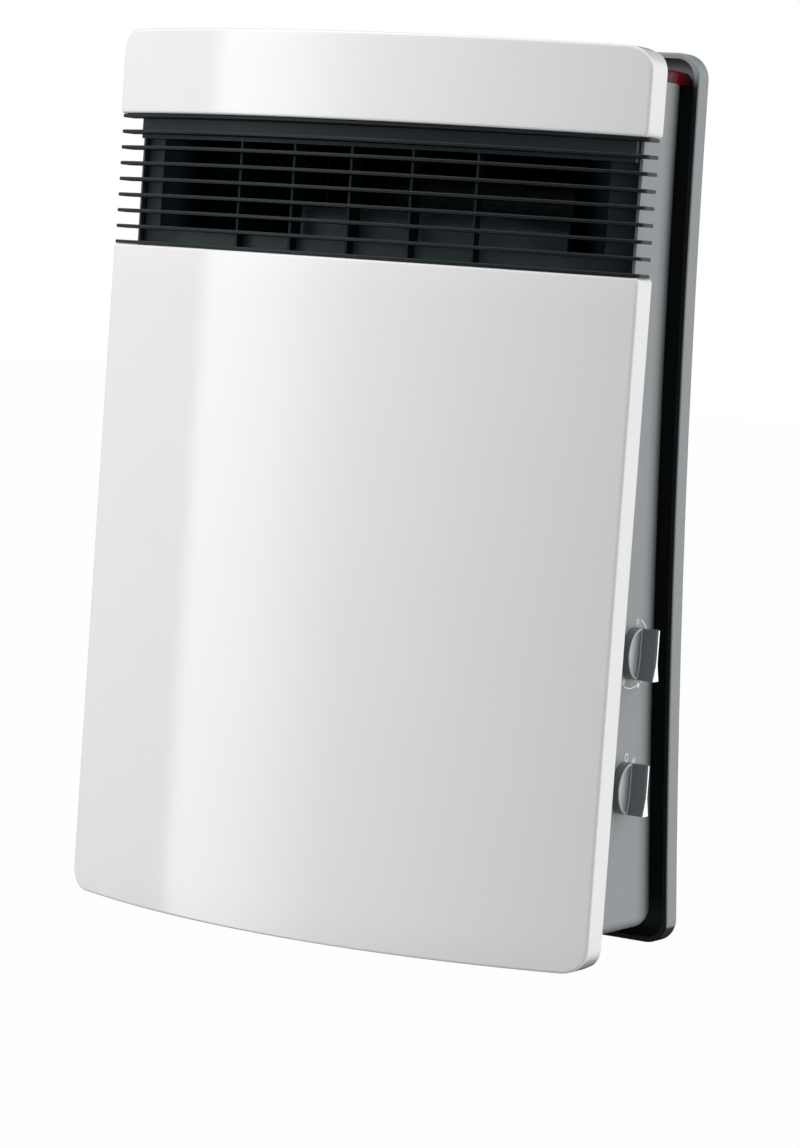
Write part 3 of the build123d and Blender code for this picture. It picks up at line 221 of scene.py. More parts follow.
lamp_data = bpy.data.lights.new("high_left", "AREA")
lamp_data.shape = "RECTANGLE"
lamp_data.size = LAMP_SIDE
lamp_data.size_y = LAMP_SIDE
lamp_data.energy = LAMP_POWER
lamp = bpy.data.objects.new("high_left", lamp_data)
lamp.location = LAMP_PLACE
lamp.rotation_euler = (LAMP_TARGET - LAMP_PLACE).to_track_quat("-Z", "Y").to_euler()
lamp.visible_glossy = False
scene.collection.objects.link(lamp)
print("lamp at", LAMP_PLACE)

# %% [markdown]
# ## Plastics and metals
# Nearly everything one sees is moulded plastic: even in colour, with a fine grain that breaks up
# the highlight. The metal inside has a grain too, drawn out along the way it was rolled or turned.
# Painted images could give that, but would need an unwrapped surface. Noise on the piece's own
# coordinates needs none, and its grain keeps its size in millimetres on every piece.

# %% Plastics and metals
NOISE_SPAN = (0.3, 0.7)
PLASTIC_CLOUD_MM = 60
PLASTIC_GLOSS_SPREAD = 0.15
PLASTIC_BUMP = 0.5
METAL_CLOUD_MM = 14
METAL_GRAIN_MM = 0.4
METAL_GRAIN_DEPTH = 0.02
METAL_GLOSS_SPREAD = 0.3
METAL_BUMP = 0.3
METAL_TONE = 0.15
COAT_ROUGHNESS = 0.03


def new_material(name):
    """Makes a node material and returns it with its tree and shader."""
    material = bpy.data.materials.new(name)
    material.use_nodes = True
    return material, material.node_tree, material.node_tree.nodes["Principled BSDF"]


def noise(tree, size_mm, detail, stretch=(1, 1, 1)):
    """Adds noise whose grains are about size_mm across, stretched along the axes."""
    coords = tree.nodes.new("ShaderNodeTexCoord")
    mapping = tree.nodes.new("ShaderNodeMapping")
    mapping.inputs["Scale"].default_value = stretch
    texture = tree.nodes.new("ShaderNodeTexNoise")
    texture.inputs["Scale"].default_value = 1000 / size_mm
    texture.inputs["Detail"].default_value = detail
    tree.links.new(coords.outputs["Object"], mapping.inputs["Vector"])
    tree.links.new(mapping.outputs["Vector"], texture.inputs["Vector"])
    return texture.outputs["Fac"]


def surface(tree, shader, colour, tone, clouds, grain, roughness, spread, strength, depth_mm):
    """Colour that gets darker by tone in the clouds, and roughness and bump that follow the grain."""
    darker = tuple(c * (1 - tone) for c in colour)
    tinted = mix_colours(tree, ramp(tree, clouds, *NOISE_SPAN), darker, colour)
    tree.links.new(tinted, shader.inputs["Base Color"])
    gloss = ramp(tree, grain, *NOISE_SPAN, roughness * (1 - spread), roughness * (1 + spread))
    tree.links.new(gloss, shader.inputs["Roughness"])
    node = tree.nodes.new("ShaderNodeBump")
    node.inputs["Strength"].default_value = strength
    node.inputs["Distance"].default_value = depth_mm / 1000
    tree.links.new(grain, node.inputs["Height"])
    tree.links.new(node.outputs["Normal"], shader.inputs["Normal"])


def moulded(name, colour, roughness, grain_mm, grain_depth, tone, coat=0.0, specular=0.5):
    """Moulded plastic, with an optional clear coat and a share of its reflections."""
    material, tree, shader = new_material(name)
    clouds = noise(tree, PLASTIC_CLOUD_MM, 2)
    grain = noise(tree, grain_mm, 4)
    surface(
        tree, shader, colour, tone, clouds, grain, roughness,
        PLASTIC_GLOSS_SPREAD, PLASTIC_BUMP, grain_depth,
    )
    shader.inputs["Coat Weight"].default_value = coat
    shader.inputs["Coat Roughness"].default_value = COAT_ROUGHNESS
    shader.inputs["Specular IOR Level"].default_value = specular
    return material


def metal(name, colour, roughness, stretch=(1, 1, 1), grain_mm=METAL_GRAIN_MM):
    """Metal whose grain is drawn out along the axes with a small stretch."""
    material, tree, shader = new_material(name)
    clouds = noise(tree, METAL_CLOUD_MM, 3)
    grain = noise(tree, grain_mm, 3, stretch)
    surface(
        tree, shader, colour, METAL_TONE, clouds, grain, roughness,
        METAL_GLOSS_SPREAD, METAL_BUMP, METAL_GRAIN_DEPTH,
    )
    shader.inputs["Metallic"].default_value = 1.0
    return material


print("plastics have clouds of", PLASTIC_CLOUD_MM, "mm, metals of", METAL_CLOUD_MM, "mm")

# %% [markdown]
# ## Light and shade painted to follow the shape
# Three places look darker or lighter than their plastic would be in this light: the housing's side
# fades to black towards the groove at the back cover, the duct behind the slats is black inside
# with a lighter lip, and the knobs' faces shine towards their rims. The slats, the band behind them
# and the ribs catch light too. More lamps and black cards could do it, and each would disturb the
# covers' reflections. So this light and shade are painted into the colour, by the place on the
# piece or by an attribute that its mesh carries.

# %% Painted light and shade by place and by attribute
# the curved back seen from the side: its Y is a start plus a square of the height left to its
# upright point, over twice the radius
BACK_START = 0.0148
BACK_UPRIGHT = 0.465
BACK_RADIUS = 2.914
# the black that painted shade fades to
SHADE_BLACK = (0.002, 0.003, 0.004)


def base_source(material):
    """The tree, shader and socket that a material's base colour comes from."""
    shader = material.node_tree.nodes["Principled BSDF"]
    return material.node_tree, shader, shader.inputs["Base Color"].links[0].from_socket


def paint_light_by_sheen(material, colour):
    """Painted light: mixes the base colour towards a brighter one by the piece's own sheen attribute.
    """
    tree, shader, base = base_source(material)
    share = tree.nodes.new("ShaderNodeAttribute")
    share.attribute_name = "sheen"
    tree.links.new(mix_colours(tree, share.outputs["Fac"], base, colour), shader.inputs["Base Color"])


def place_axes(tree):
    """The outputs X, Y and Z of the Object coordinates."""
    coords = tree.nodes.new("ShaderNodeTexCoord")
    split = tree.nodes.new("ShaderNodeSeparateXYZ")
    tree.links.new(coords.outputs["Object"], split.inputs[0])
    return split.outputs


def before_the_back(tree, place):
    """How far a point lies in front of the curved back."""
    left = calculate(tree, "SUBTRACT", BACK_UPRIGHT, place["Z"])
    lean = calculate(tree, "DIVIDE", calculate(tree, "MULTIPLY", left, left), 2 * BACK_RADIUS)
    return calculate(tree, "SUBTRACT", calculate(tree, "ADD", lean, BACK_START), place["Y"])


def paint_shade_to_black(material, light_share):
    """Paints shade: darkens the base colour and the reflections by a share: 0 is black, 1 leaves them.
    """
    tree, shader, base = base_source(material)
    tree.links.new(mix_colours(tree, light_share, SHADE_BLACK, base), shader.inputs["Base Color"])
    reflections = shader.inputs["Specular IOR Level"]
    tree.links.new(calculate(tree, "MULTIPLY", light_share, reflections.default_value), reflections)


print("the back is upright at", BACK_UPRIGHT, "m")

# %% [markdown]
# Painted shade makes the housing black where it meets the back cover, and it has its own grey 30 mm
# in front of it. The back cover is a shallow tray: painted shade darkens its floor and the front of
# its rim beside the housing, and its outside keeps the grey.

# %% Paint the shade in the groove
GROOVE_SHADE_BLACK_AT = 0.0095
GROOVE_SHADE_ENDS_AT = 0.0300
TRAY_OUTSIDE = (0.0010, 0.0016)
RIM_OUTSIDE = (0.1442, 0.1438)
TRAY_TOP = (0.4180, 0.4100)
TRAY_SHADE = 0.93


def paint_groove_shade_on_housing(material):
    """Painted shade: the housing's sides fade to black towards the groove between housing and back
    cover.
    """
    tree = material.node_tree
    distance = before_the_back(tree, place_axes(tree))
    paint_shade_to_black(material, soft_step(tree, distance, GROOVE_SHADE_BLACK_AT, GROOVE_SHADE_ENDS_AT))


def paint_shade_in_tray(material):
    """Painted shade: the back cover's inside is dark, up to near its top."""
    tree = material.node_tree
    place = place_axes(tree)
    inside = soft_step(tree, before_the_back(tree, place), *TRAY_OUTSIDE)
    within_rim = soft_step(tree, calculate(tree, "ABSOLUTE", place["X"], 0), *RIM_OUTSIDE)
    below_top = soft_step(tree, place["Z"], *TRAY_TOP)
    dark = calculate(tree, "MULTIPLY", calculate(tree, "MULTIPLY", inside, within_rim), below_top)
    shade = calculate(tree, "MULTIPLY", dark, TRAY_SHADE)
    paint_shade_to_black(material, calculate(tree, "SUBTRACT", 1, shade))


print("groove black at", GROOVE_SHADE_BLACK_AT, "and grey at", GROOVE_SHADE_ENDS_AT)

# %% [markdown]
# Behind the slats the duct narrows to a throat. Painted shade fades its walls to black on the way
# back, and painted light makes the rounded lip below the throat lighter.

# %% Paint the shade and light in the duct
DUCT_SHADE_SPAN = (-0.0260, -0.0370)
LIP_FRONT = (-0.0370, -0.0420)
LIP_TOP = (0.3520, 0.3460)


def paint_duct_shade_by_depth(material):
    """Painted shade: the duct fades to black from the lip back to the throat."""
    tree = material.node_tree
    paint_shade_to_black(material, soft_step(tree, place_axes(tree)["Y"], *DUCT_SHADE_SPAN))


def paint_light_on_lip(material, colour):
    """Painted light: the rounded lip in front of the throat is lighter than the rest of the duct."""
    tree, shader, base = base_source(material)
    place = place_axes(tree)
    front = soft_step(tree, place["Y"], *LIP_FRONT)
    low = soft_step(tree, place["Z"], *LIP_TOP)
    lit = mix_colours(tree, calculate(tree, "MULTIPLY", front, low), base, colour)
    tree.links.new(lit, shader.inputs["Base Color"])


print("duct black behind", DUCT_SHADE_SPAN[0])

# %% [markdown]
# ## Finishes
# The colours are matched to the photograph, in linear values. A plastic is given by its colour,
# its roughness, its grain's size and depth in millimetres, and how much its tone changes.
# The covers have a clear coat, which gives them their second, sharper reflection.

# %% Make the materials
cover_white = moulded("cover_white", (0.81, 0.81, 0.81), 0.16, 6.0, 0.004, 0.01, coat=0.6)
housing_grey = moulded("housing_grey", (0.27, 0.295, 0.305), 0.42, 0.6, 0.03, 0.04)
# painted shade on the housing at the groove
paint_groove_shade_on_housing(housing_grey)
tray_grey = moulded("tray_grey", (0.25, 0.275, 0.285), 0.4, 0.6, 0.03, 0.04)
# painted shade inside the back cover
paint_shade_in_tray(tray_grey)
grille_dark = moulded("grille_dark", (0.007, 0.011, 0.013), 0.34, 0.5, 0.02, 0.1, specular=0.16)
# painted light: the sheen attribute lightens the slats' noses, the band and the ribs
paint_light_by_sheen(grille_dark, (0.062, 0.098, 0.112))
duct_dark = moulded("duct_dark", (0.026, 0.050, 0.060), 0.45, 0.5, 0.02, 0.1, specular=0.3)
# painted shade deep in the duct, and painted light on its lip
paint_duct_shade_by_depth(duct_dark)
paint_light_on_lip(duct_dark, (0.078, 0.112, 0.126))
knob_grey = moulded("knob_grey", (0.145, 0.175, 0.182), 0.36, 0.5, 0.02, 0.05)
# painted highlight: the sheen attribute lightens the knobs' faces towards the rim
paint_light_by_sheen(knob_grey, (0.88, 0.90, 0.90))

# the metals' third value is the stretch of their grain along X, Y and Z
shade_black_steel = metal("shade_black_steel", (0.012, 0.013, 0.014), 0.5, (0.1, 1, 1))
finishes = {
    "gloss_cover": cover_white,
    "grey_housing": housing_grey,
    "grey_back": tray_grey,
    "dark_grille": grille_dark,
    "dark_duct": duct_dark,
    "knob_plastic": knob_grey,
    "inlay_silver": metal("inlay_silver", (0.72, 0.74, 0.75), 0.28, (1, 1, 0.05)),
    "lens_red": moulded("lens_red", (0.105, 0.002, 0.005), 0.2, 3.0, 0.5, 0.5, specular=0.08),
    "lamp_glass": moulded("lamp_glass", (0.75, 0.35, 0.22), 0.08, 3.0, 0.02, 0.1),
    "sheet_steel": metal("sheet_steel", (0.55, 0.57, 0.58), 0.38, (0.1, 1, 1)),
    "fan_plastic": moulded("fan_black", (0.02, 0.02, 0.022), 0.45, 0.6, 0.03, 0.1),
    "shaft_steel": metal("shaft_steel", (0.62, 0.62, 0.63), 0.25, (0.05, 1, 1)),
    "bush_bronze": metal("bush_bronze", (0.55, 0.36, 0.18), 0.4),
    "core_steel": metal("core_steel", (0.22, 0.22, 0.235), 0.45, (12, 0.3, 0.3), 1.0),
    "coil_copper": moulded("coil_tape", (0.42, 0.13, 0.05), 0.3, 0.8, 0.1, 0.2),
    "mica_board": moulded("mica_board", (0.50, 0.45, 0.36), 0.6, 0.7, 0.06, 0.2),
    "fin_aluminium": metal("fin_aluminium", (0.78, 0.79, 0.80), 0.32),
    "bakelite": moulded("bakelite", (0.045, 0.032, 0.026), 0.3, 0.6, 0.02, 0.1),
    "switch_plastic": moulded("switch_cream", (0.60, 0.57, 0.50), 0.4, 0.6, 0.03, 0.06),
    "terminal_white": moulded("terminal_white", (0.74, 0.73, 0.68), 0.35, 0.6, 0.03, 0.05),
    "rubber_black": moulded("rubber_black", (0.022, 0.022, 0.023), 0.7, 0.3, 0.05, 0.1),
    "screw_steel": metal("screw_steel", (0.50, 0.50, 0.52), 0.35),
}
print("finishes:", len(finishes) + 1)

# %% [markdown]
# Each solid says in its record which finish it takes. The parts round the hot air get a near-black
# steel instead, as painted shade, because nothing can be seen behind the outlet.

# %% Give each node its finish
HOT_AIR_PARTS = (
    "fan_casing", "element_frame", "heating_fins", "heating_bars", "air_tongue", "cutout_bracket",
)
for entry in frame["record"]["subparts"]:
    carried = nodes[entry["node"]]
    carried.data.materials.clear()
    carried.data.materials.append(finishes[entry["material_slot"]])
# painted shade: the parts round the hot air take the near-black steel
for name in HOT_AIR_PARTS:
    nodes[name].data.materials[0] = shade_black_steel

# %% [markdown]
# ## Surfaces from grids
# The solids are cut into flat facets, which break up long reflections. The pieces that show them
# are made again here, each as a surface worked out on a fine grid: rows of points along one way and
# columns along the other. Modelling them by hand or smoothing the facets would be quicker, but would
# not follow the solids' exact arcs. Sizes are in millimetres, and places come from the solids'
# boxes.

# %% Shared shapes
MM = 0.001
WELD = 0.002
THINNEST = 0.001
CREASE = 40.0


def box_mm(node):
    """Lowest and highest corner of a solid, in millimetres."""
    low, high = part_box(node)
    return np.array(low) / MM, np.array(high) / MM


def points(x, y, z):
    """Points from three coordinates, each an array or a number."""
    return np.stack(np.broadcast_arrays(x, y, z), axis=-1)


def grid_surface(grid, closed=False):
    """Points and quads of a grid; a closed grid joins its last column to the first. A quad's corners
    are a point, the one beside it, and the two in the next row."""
    rows, columns = grid.shape[:2]
    row = np.arange(rows - 1)[:, None] * columns
    column = np.arange(columns if closed else columns - 1)
    beside = (column + 1) % columns
    corners = [row + column, row + beside, row + columns + beside, row + columns + column]
    return grid.reshape(-1, 3).tolist(), np.stack(corners, axis=2).reshape(-1, 4).tolist()


def loop_solid(loops):
    """Closed solid from equal loops of points, one behind the other, with flat ends."""
    verts, faces = grid_surface(loops, True)
    count, size = loops.shape[:2]
    return verts, faces + [list(range(size)), list(range((count - 1) * size, count * size))]


def merged(surfaces):
    """One list of points and faces from several surfaces."""
    verts, faces = [], []
    for own_verts, own_faces in surfaces:
        start = len(verts)
        verts += own_verts
        faces += [[start + i for i in face] for face in own_faces]
    return verts, faces


print("points closer than", WELD, "mm are welded")

# %% [markdown]
# A mesh becomes a piece in the same way each time. Points that coincide are welded, faces are
# turned outwards, and edges flatter than the crease are shaded smooth. Then the piece is told which
# moving body it rides on and which finish it shows, and the solids it stands for are hidden.


# %% Make a piece
def piece_from(name, shape, material, body, replaced, crease=CREASE, sheen=None):
    """Makes one smooth mesh from a shape's millimetre points and faces, and ties it to the frame."""
    verts, faces = shape
    mesh = bpy.data.meshes.new(name)
    mesh.from_pydata((np.asarray(verts) * MM).tolist(), [], faces)
    # the sheen attribute carries painted light, which the material mixes into the colour
    if sheen is not None:
        mesh.attributes.new("sheen", "FLOAT", "POINT").data.foreach_set("value", sheen)
    work = bmesh.new()
    work.from_mesh(mesh)
    bmesh.ops.remove_doubles(work, verts=work.verts, dist=WELD * MM)
    bmesh.ops.dissolve_degenerate(work, edges=work.edges, dist=THINNEST * MM)
    bmesh.ops.recalc_face_normals(work, faces=work.faces)
    sharp = math.radians(crease)
    for edge in work.edges:
        edge.smooth = len(edge.link_faces) == 2 and edge.calc_face_angle(0.0) < sharp
    work.to_mesh(mesh)
    work.free()
    mesh.shade_smooth()
    mesh.materials.append(material)
    piece = bpy.data.objects.new(name, mesh)
    scene.collection.objects.link(piece)
    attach(piece, body)
    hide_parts(replaced)
    print(name, len(mesh.polygons), "faces")


# %% [markdown]
# ## Covers
# The two covers are bent plates of plastic with a rim that runs back to the housing. Seen from above
# their front is one arc, so every point's depth follows from its place across the heater. That
# makes a formula the simplest way: a box bent by a tool would have to be fitted to the arc by eye.
#
# The arc goes through three points, the middle of the front and its two side edges.

# %% The bow of the front
SIDE_EDGE_Y = -42.0
cover_low, cover_high = box_mm("front_cover")
half_width = cover_high[0]
bow = SIDE_EDGE_Y - cover_low[1]
bow_radius = (half_width**2 + bow**2) / (2 * bow)
bow_centre_y = cover_low[1] + bow_radius


def bow_y(x, behind=0.0):
    """Y of the bow at x: its centre's Y less the leg of the right triangle whose long side is the
    radius and whose other leg is x. Behind gives the parallel arc that lies deeper."""
    return bow_centre_y - np.sqrt((bow_radius - behind) ** 2 - np.square(x))


print("bow:", round(bow, 1), "mm deep, radius", round(bow_radius, 1), "mm")

# %% [markdown]
# A cover's face is a grid whose columns run up the heater. In a rounded corner the columns stand
# closer and end on the corner's arc.

# %% The outline of a cover
COLUMNS_ACROSS = 220
COLUMNS_IN_CORNER = 14
ROWS_UP = 24
SMALLEST_ROUND = 0.05


def cover_outline(low, high, inset, low_round, high_round):
    """Face grid of a cover, inset from its outline, as its X and Z; and the points of its rim with
    their outward directions, in order round the outline. A corner rises from the edge by its radius
    less the leg of the right triangle whose other leg is the way past the corner's centre."""
    reach = half_width - inset
    end_round = max(low_round, high_round) - inset
    turn = np.linspace(0, math.pi / 2, COLUMNS_IN_CORNER)
    ends = reach - end_round * (1 - np.sin(turn))
    x = np.concatenate([-ends[:0:-1], np.linspace(-ends[0], ends[0], COLUMNS_ACROSS), ends[1:]])

    def edge(level, radius, side):
        """Height of the low or high edge at each x, and the edge's outward direction."""
        radius = max(radius - inset, SMALLEST_ROUND)
        past = np.clip(np.abs(x) - (reach - radius), 0, radius)
        rise = radius - np.sqrt(np.maximum(radius**2 - past**2, 0))
        out_x = np.sign(x) * past / radius
        out_z = side * np.sqrt(np.maximum(1 - (past / radius) ** 2, 0))
        return np.stack([x, level - side * (inset + rise), out_x, out_z], axis=1)

    lower = edge(low, low_round, -1)
    upper = edge(high, high_round, 1)
    share = np.linspace(0, 1, ROWS_UP)[:, None]
    z = lower[:, 1] * (1 - share) + upper[:, 1] * share

    def side_rim(column, out_x):
        """The rim up one side, between the lower and the upper edge."""
        heights = z[1:-1, column]
        return np.stack(np.broadcast_arrays(x[column], heights, out_x, 0.0), axis=1)

    rim = np.concatenate([lower, side_rim(-1, 1.0), upper[::-1], side_rim(0, -1.0)[::-1]])
    return x, z, rim


print("cover grid:", ROWS_UP, "rows,", COLUMNS_ACROSS + 2 * COLUMNS_IN_CORNER - 2, "columns")

# %% [markdown]
# The rim of that grid rolls over the front edge by a quarter circle, runs back to the housing as the
# return, and comes forward again inside as the wall's inner face. The small roll is what draws the
# thin light line round each cover. The top cover stands a little prouder than the large one.

# %% Make the covers
COVER_EDGE = 1.3
COVER_WALL = 2.5
RETURN_DEPTH = 13.5
END_RETURN = 5.0
HOUSING_SETBACK = 12.0
FIT = 0.2
ROLL_STEPS = 9
RETURN_SHARES = np.array([0.03, 0.5, 0.97, 1.0])[:, None]
CORNER_ROUND = 11.0
SHARP_ROUND = 1.4


def make_cover(node, low_round, high_round):
    """A bowed cover shell from its solid's box: face, inner face, and the rim that joins them."""
    low, high = box_mm(node)
    proud = cover_low[1] - low[1]
    x, z, rim = cover_outline(low[2], high[2], COVER_EDGE, low_round, high_round)
    inner_x, inner_z, inner = cover_outline(low[2], high[2], COVER_WALL, low_round, high_round)
    face = points(x, bow_y(x) - proud, z)
    inner_face = points(inner_x, bow_y(inner_x) + COVER_WALL - proud, inner_z)
    along_x, along_z, out_x, out_z = rim.T
    # a quarter circle over the front edge: out by its sine, back by one less its cosine
    roll = np.linspace(0, math.pi / 2, ROLL_STEPS)[:, None]
    rolled_x = along_x + out_x * COVER_EDGE * np.sin(roll)
    rolled_z = along_z + out_z * COVER_EDGE * np.sin(roll)
    rolled = points(rolled_x, bow_y(rolled_x) + COVER_EDGE * (1 - np.cos(roll)) - proud, rolled_z)
    rear = np.where(
        np.abs(along_x) < half_width - END_RETURN,
        bow_y(along_x, HOUSING_SETBACK - FIT),
        SIDE_EDGE_Y + RETURN_DEPTH,
    )
    last_x, last_y, last_z = rolled[-1].T
    return_y = last_y * (1 - RETURN_SHARES) + rear * RETURN_SHARES
    inner_y = np.stack([rear, bow_y(inner[:, 0]) + COVER_WALL - proud])
    rim_grid = np.concatenate([
        rolled,
        points(last_x, return_y, last_z),
        points(inner[:, 0], inner_y, inner[:, 1]),
    ])
    shape = merged([grid_surface(face), grid_surface(inner_face), grid_surface(rim_grid, True)])
    piece_from(node + "_smooth", shape, cover_white, "heater", node)


make_cover("front_cover", CORNER_ROUND, SHARP_ROUND)
make_cover("top_cover", SHARP_ROUND, CORNER_ROUND)

# %% [markdown]
# ## Air outlet
# Nine thin blades follow the bow between the covers. A blade's rear edge lies on a flatter arc than
# its front, so it is deeper in the middle than at its ends. Each could be an extruded outline with
# its edge rounded afterwards. Here one section, a flat blade with a round nose, is carried along the
# bow, which gives the nose its even round and lets it run out at the ends.
#
# Seen from the front a blade is dark with a thin light line on its upper edge, so its sheen, a
# highlight painted into its colour, rises towards the top of the nose.

# %% Make the slats
SLAT_COUNT = 9
SLAT_WALL = 1.7
NOSE = 0.7
SLAT_END_DEPTH = 10.7
SLAT_MIDDLE_DEPTH = 18.4
SLAT_END_ROUND = 2.0
SLAT_COLUMNS = 200
SLAT_END_STEPS = 8
NOSE_STEPS = 11
# painted highlight along the nose and on the slat's top
NOSE_SHEEN = 0.9
NOSE_SHEEN_FROM = 0.4
SLAT_TOP_SHEEN = 0.25

grille_low, grille_high = box_mm("outlet_grille")
rear_middle_y = cover_low[1] + SLAT_MIDDLE_DEPTH
rear_bow = SIDE_EDGE_Y + SLAT_END_DEPTH - rear_middle_y
rear_radius = (half_width**2 + rear_bow**2) / (2 * rear_bow)


def rear_y(x, behind=0.0):
    """Y of the slats' rear arc at x, found as the bow's Y is, or of a parallel arc behind it."""
    return rear_middle_y + rear_radius - np.sqrt((rear_radius - behind) ** 2 - np.square(x))


turn = np.linspace(0, math.pi / 2, SLAT_END_STEPS)
end_x = half_width - SLAT_END_ROUND * (1 - np.sin(turn))
slat_x = np.concatenate([-end_x[:0:-1], np.linspace(-end_x[0], end_x[0], SLAT_COLUMNS), end_x[1:]])
past = np.clip(np.abs(slat_x) - (half_width - SLAT_END_ROUND), 0, SLAT_END_ROUND)
set_back = SLAT_END_ROUND - np.sqrt(np.maximum(SLAT_END_ROUND**2 - past**2, 0))
slat_front = (bow_y(slat_x) + set_back)[:, None]
slat_rear = rear_y(slat_x)[:, None]
nose_turn = np.linspace(-math.pi / 2, math.pi / 2, NOSE_STEPS)
section_y = np.concatenate([slat_rear, slat_front + NOSE * (1 - np.cos(nose_turn)), slat_rear], axis=1)
section_z = SLAT_WALL * np.concatenate([[0], (1 + np.sin(nose_turn)) / 2, [1]])
nose_sheen = NOSE_SHEEN * np.maximum(0, np.sin(nose_turn) - NOSE_SHEEN_FROM)
slat_sheen = np.concatenate([[0], nose_sheen, [SLAT_TOP_SHEEN]])
pitch = (grille_high[2] - grille_low[2] - SLAT_WALL) / (SLAT_COUNT - 1)
bars, sheens = [], []
for index in range(SLAT_COUNT):
    loops = points(slat_x[:, None], section_y, grille_low[2] + index * pitch + section_z)
    bars.append(loop_solid(loops))
    sheens.append(np.tile(slat_sheen, len(slat_x)))
print("slats:", SLAT_COUNT, "every", round(pitch, 2), "mm")

# %% [markdown]
# Behind the two upper slats a band closes the gap to the top cover, and five upright ribs hold the
# slats. A rib is one side view given a thickness; it is deeper above the duct's lip than below. The
# slats, the band and the ribs are one moulding, so they become one piece.

# %% Add the band and the ribs
RIB_PITCH = 32.5
RIB_WALL = 1.2
RIB_BITE = 1.5
RIB_REACH = 8.5
RIB_SETBACK = 3.8
# painted light that makes the ribs and the band lighter than the slats
RIB_SHEEN = 0.25
RIB_INDICES = (-2, -1, 0, 1, 2)
BAND_WALL = 2.0
BAND_END = 8.7
BAND_COLUMNS = 160
BAND_SHEEN = (0.56, 0.2, 0.2, 0.56)
UPPER_BAND = 11.2
LOWER_BAND = 8.7

band_low, band_high = grille_high[2] - UPPER_BAND, grille_high[2]
band_x = np.linspace(BAND_END - half_width, half_width - BAND_END, BAND_COLUMNS)
band_front, band_back = rear_y(band_x, -RIB_BITE), rear_y(band_x, BAND_WALL)
band_y = np.stack([band_front, band_back, band_back, band_front], axis=1)
bars.append(loop_solid(points(band_x[:, None], band_y, [band_low, band_low, band_high, band_high])))
sheens.append(np.tile(BAND_SHEEN, len(band_x)))

rib_low = grille_low[2]
rib_step = rib_low + LOWER_BAND
rib_z = [rib_low, rib_low, rib_step, rib_step, band_low, band_low]
rib_sides = np.array([[-RIB_WALL / 2], [RIB_WALL / 2]])
for index in RIB_INDICES:
    x = index * RIB_PITCH
    front, foot, back = rear_y(x, -RIB_BITE), rear_y(x, RIB_SETBACK), rear_middle_y + RIB_REACH
    bars.append(loop_solid(points(x + rib_sides, [front, foot, foot, back, back, front], rib_z)))
    sheens.append(np.full(2 * len(rib_z), RIB_SHEEN))
piece_from(
    "outlet_slats", merged(bars), grille_dark, "heater", "outlet_grille",
    sheen=np.concatenate(sheens),
)

# %% [markdown]
# ## Knobs
# A knob is a disc with a standing grip, and a bright strip is let into the grip's end. A block cut
# by hand would do, but the disc is plainly a turned part: a profile of hub, back, rim, rolled edge
# and face, carried round its axis. The face sinks a little beside the grip, and a painted sheen, a
# highlight laid into its colour, grows towards the rim like a light crescent.

# %% The knob's disc
KNOB_RADIUS = 12.2
KNOB_DISC = 4.2
KNOB_EDGE = 0.5
EDGE_FROM = 0.3
HUB_RADIUS = 5.0
GRIP_HALF = 1.05
GRIP_FLARE = 1.85
FLARE_FROM = 0.25
FLARE_POWER = 1.3
FACE_END = 0.85
FACE_SINK = 0.5
RIM_BLEND = 1.5
RIM_SHEEN = 0.6
SHEEN_POWER = 0.9
EDGE_STEPS = 5
FACE_RINGS = 17
SPOKES = 144


def grip_half(z):
    """Half of the grip's width at height z over the knob's centre: even above, and below a quarter
    of the radius it widens with a power of the way down."""
    down = np.clip((-z / KNOB_RADIUS - FLARE_FROM) / (1 - FLARE_FROM), 0, 1)
    return GRIP_HALF + GRIP_FLARE * down**FLARE_POWER


def knob_disc(hub_x, back_x, centre_y, centre_z):
    """Turned body of the disc and hub, and its painted sheen. The face sinks by a sine of the way from
    the grip to the rim, and its painted sheen rises with nearly that way."""
    edge = np.linspace(EDGE_FROM, math.pi / 2, EDGE_STEPS)
    face_reach = KNOB_RADIUS - KNOB_EDGE
    radius = np.concatenate([
        [0, HUB_RADIUS, HUB_RADIUS, KNOB_RADIUS, KNOB_RADIUS],
        face_reach + KNOB_EDGE * np.cos(edge),
        np.linspace(face_reach, 0, FACE_RINGS + 1)[1:],
    ])[:, None]
    height = np.concatenate([
        [hub_x - back_x, hub_x - back_x, 0, 0, KNOB_DISC - KNOB_EDGE],
        KNOB_DISC - KNOB_EDGE * (1 - np.sin(edge)),
        np.full(FACE_RINGS, KNOB_DISC),
    ])[:, None]
    around = np.linspace(0, 2 * math.pi, SPOKES, endpoint=False)
    y, z = radius * np.sin(around), radius * np.cos(around)
    grip_end = grip_half(z) + FACE_END
    way = np.clip((np.abs(y) - grip_end) / (face_reach - grip_end), 0, 1)
    on_face = np.arange(len(radius))[:, None] >= len(radius) - FACE_RINGS
    from_rim = np.clip((face_reach - radius) / RIM_BLEND, 0, 1)
    height = height - on_face * from_rim * FACE_SINK * np.sin(math.pi * way)
    sheen = np.where(on_face, way**SHEEN_POWER, 0.0)
    sheen[-FACE_RINGS - EDGE_STEPS:-FACE_RINGS] = RIM_SHEEN
    return grid_surface(points(back_x + height, centre_y + y, centre_z + z), True), sheen.ravel()


print("knob:", 2 * KNOB_RADIUS, "mm across")

# %% [markdown]
# The grip is a closed body of its own that stands in the disc, because its flared outline would
# not fit the disc's rings. Its loops run across it and are cut off where the disc's rim is, so grip
# and disc share one outline from the side. A painted highlight runs along the crease at its foot.

# %% The knob's grip
GRIP_HEIGHT = 7.7
CREASE_SHEEN = 0.55
GRIP_TIP = 0.4
GRIP_LOOPS = 71
# the grip's side: how far outside its half width, how high over the disc's face, and how bright its
# painted sheen is
GRIP_SIDE_OUT = np.array([FACE_END, 0.55, 0.25, 0.15, -0.15])
GRIP_SIDE_UP = np.array([-0.7, 0.1, 0.5, GRIP_HEIGHT - 0.3, GRIP_HEIGHT])
GRIP_SIDE_SHEEN = np.array([0.0, CREASE_SHEEN, 0.0, 0.0, 0.0])


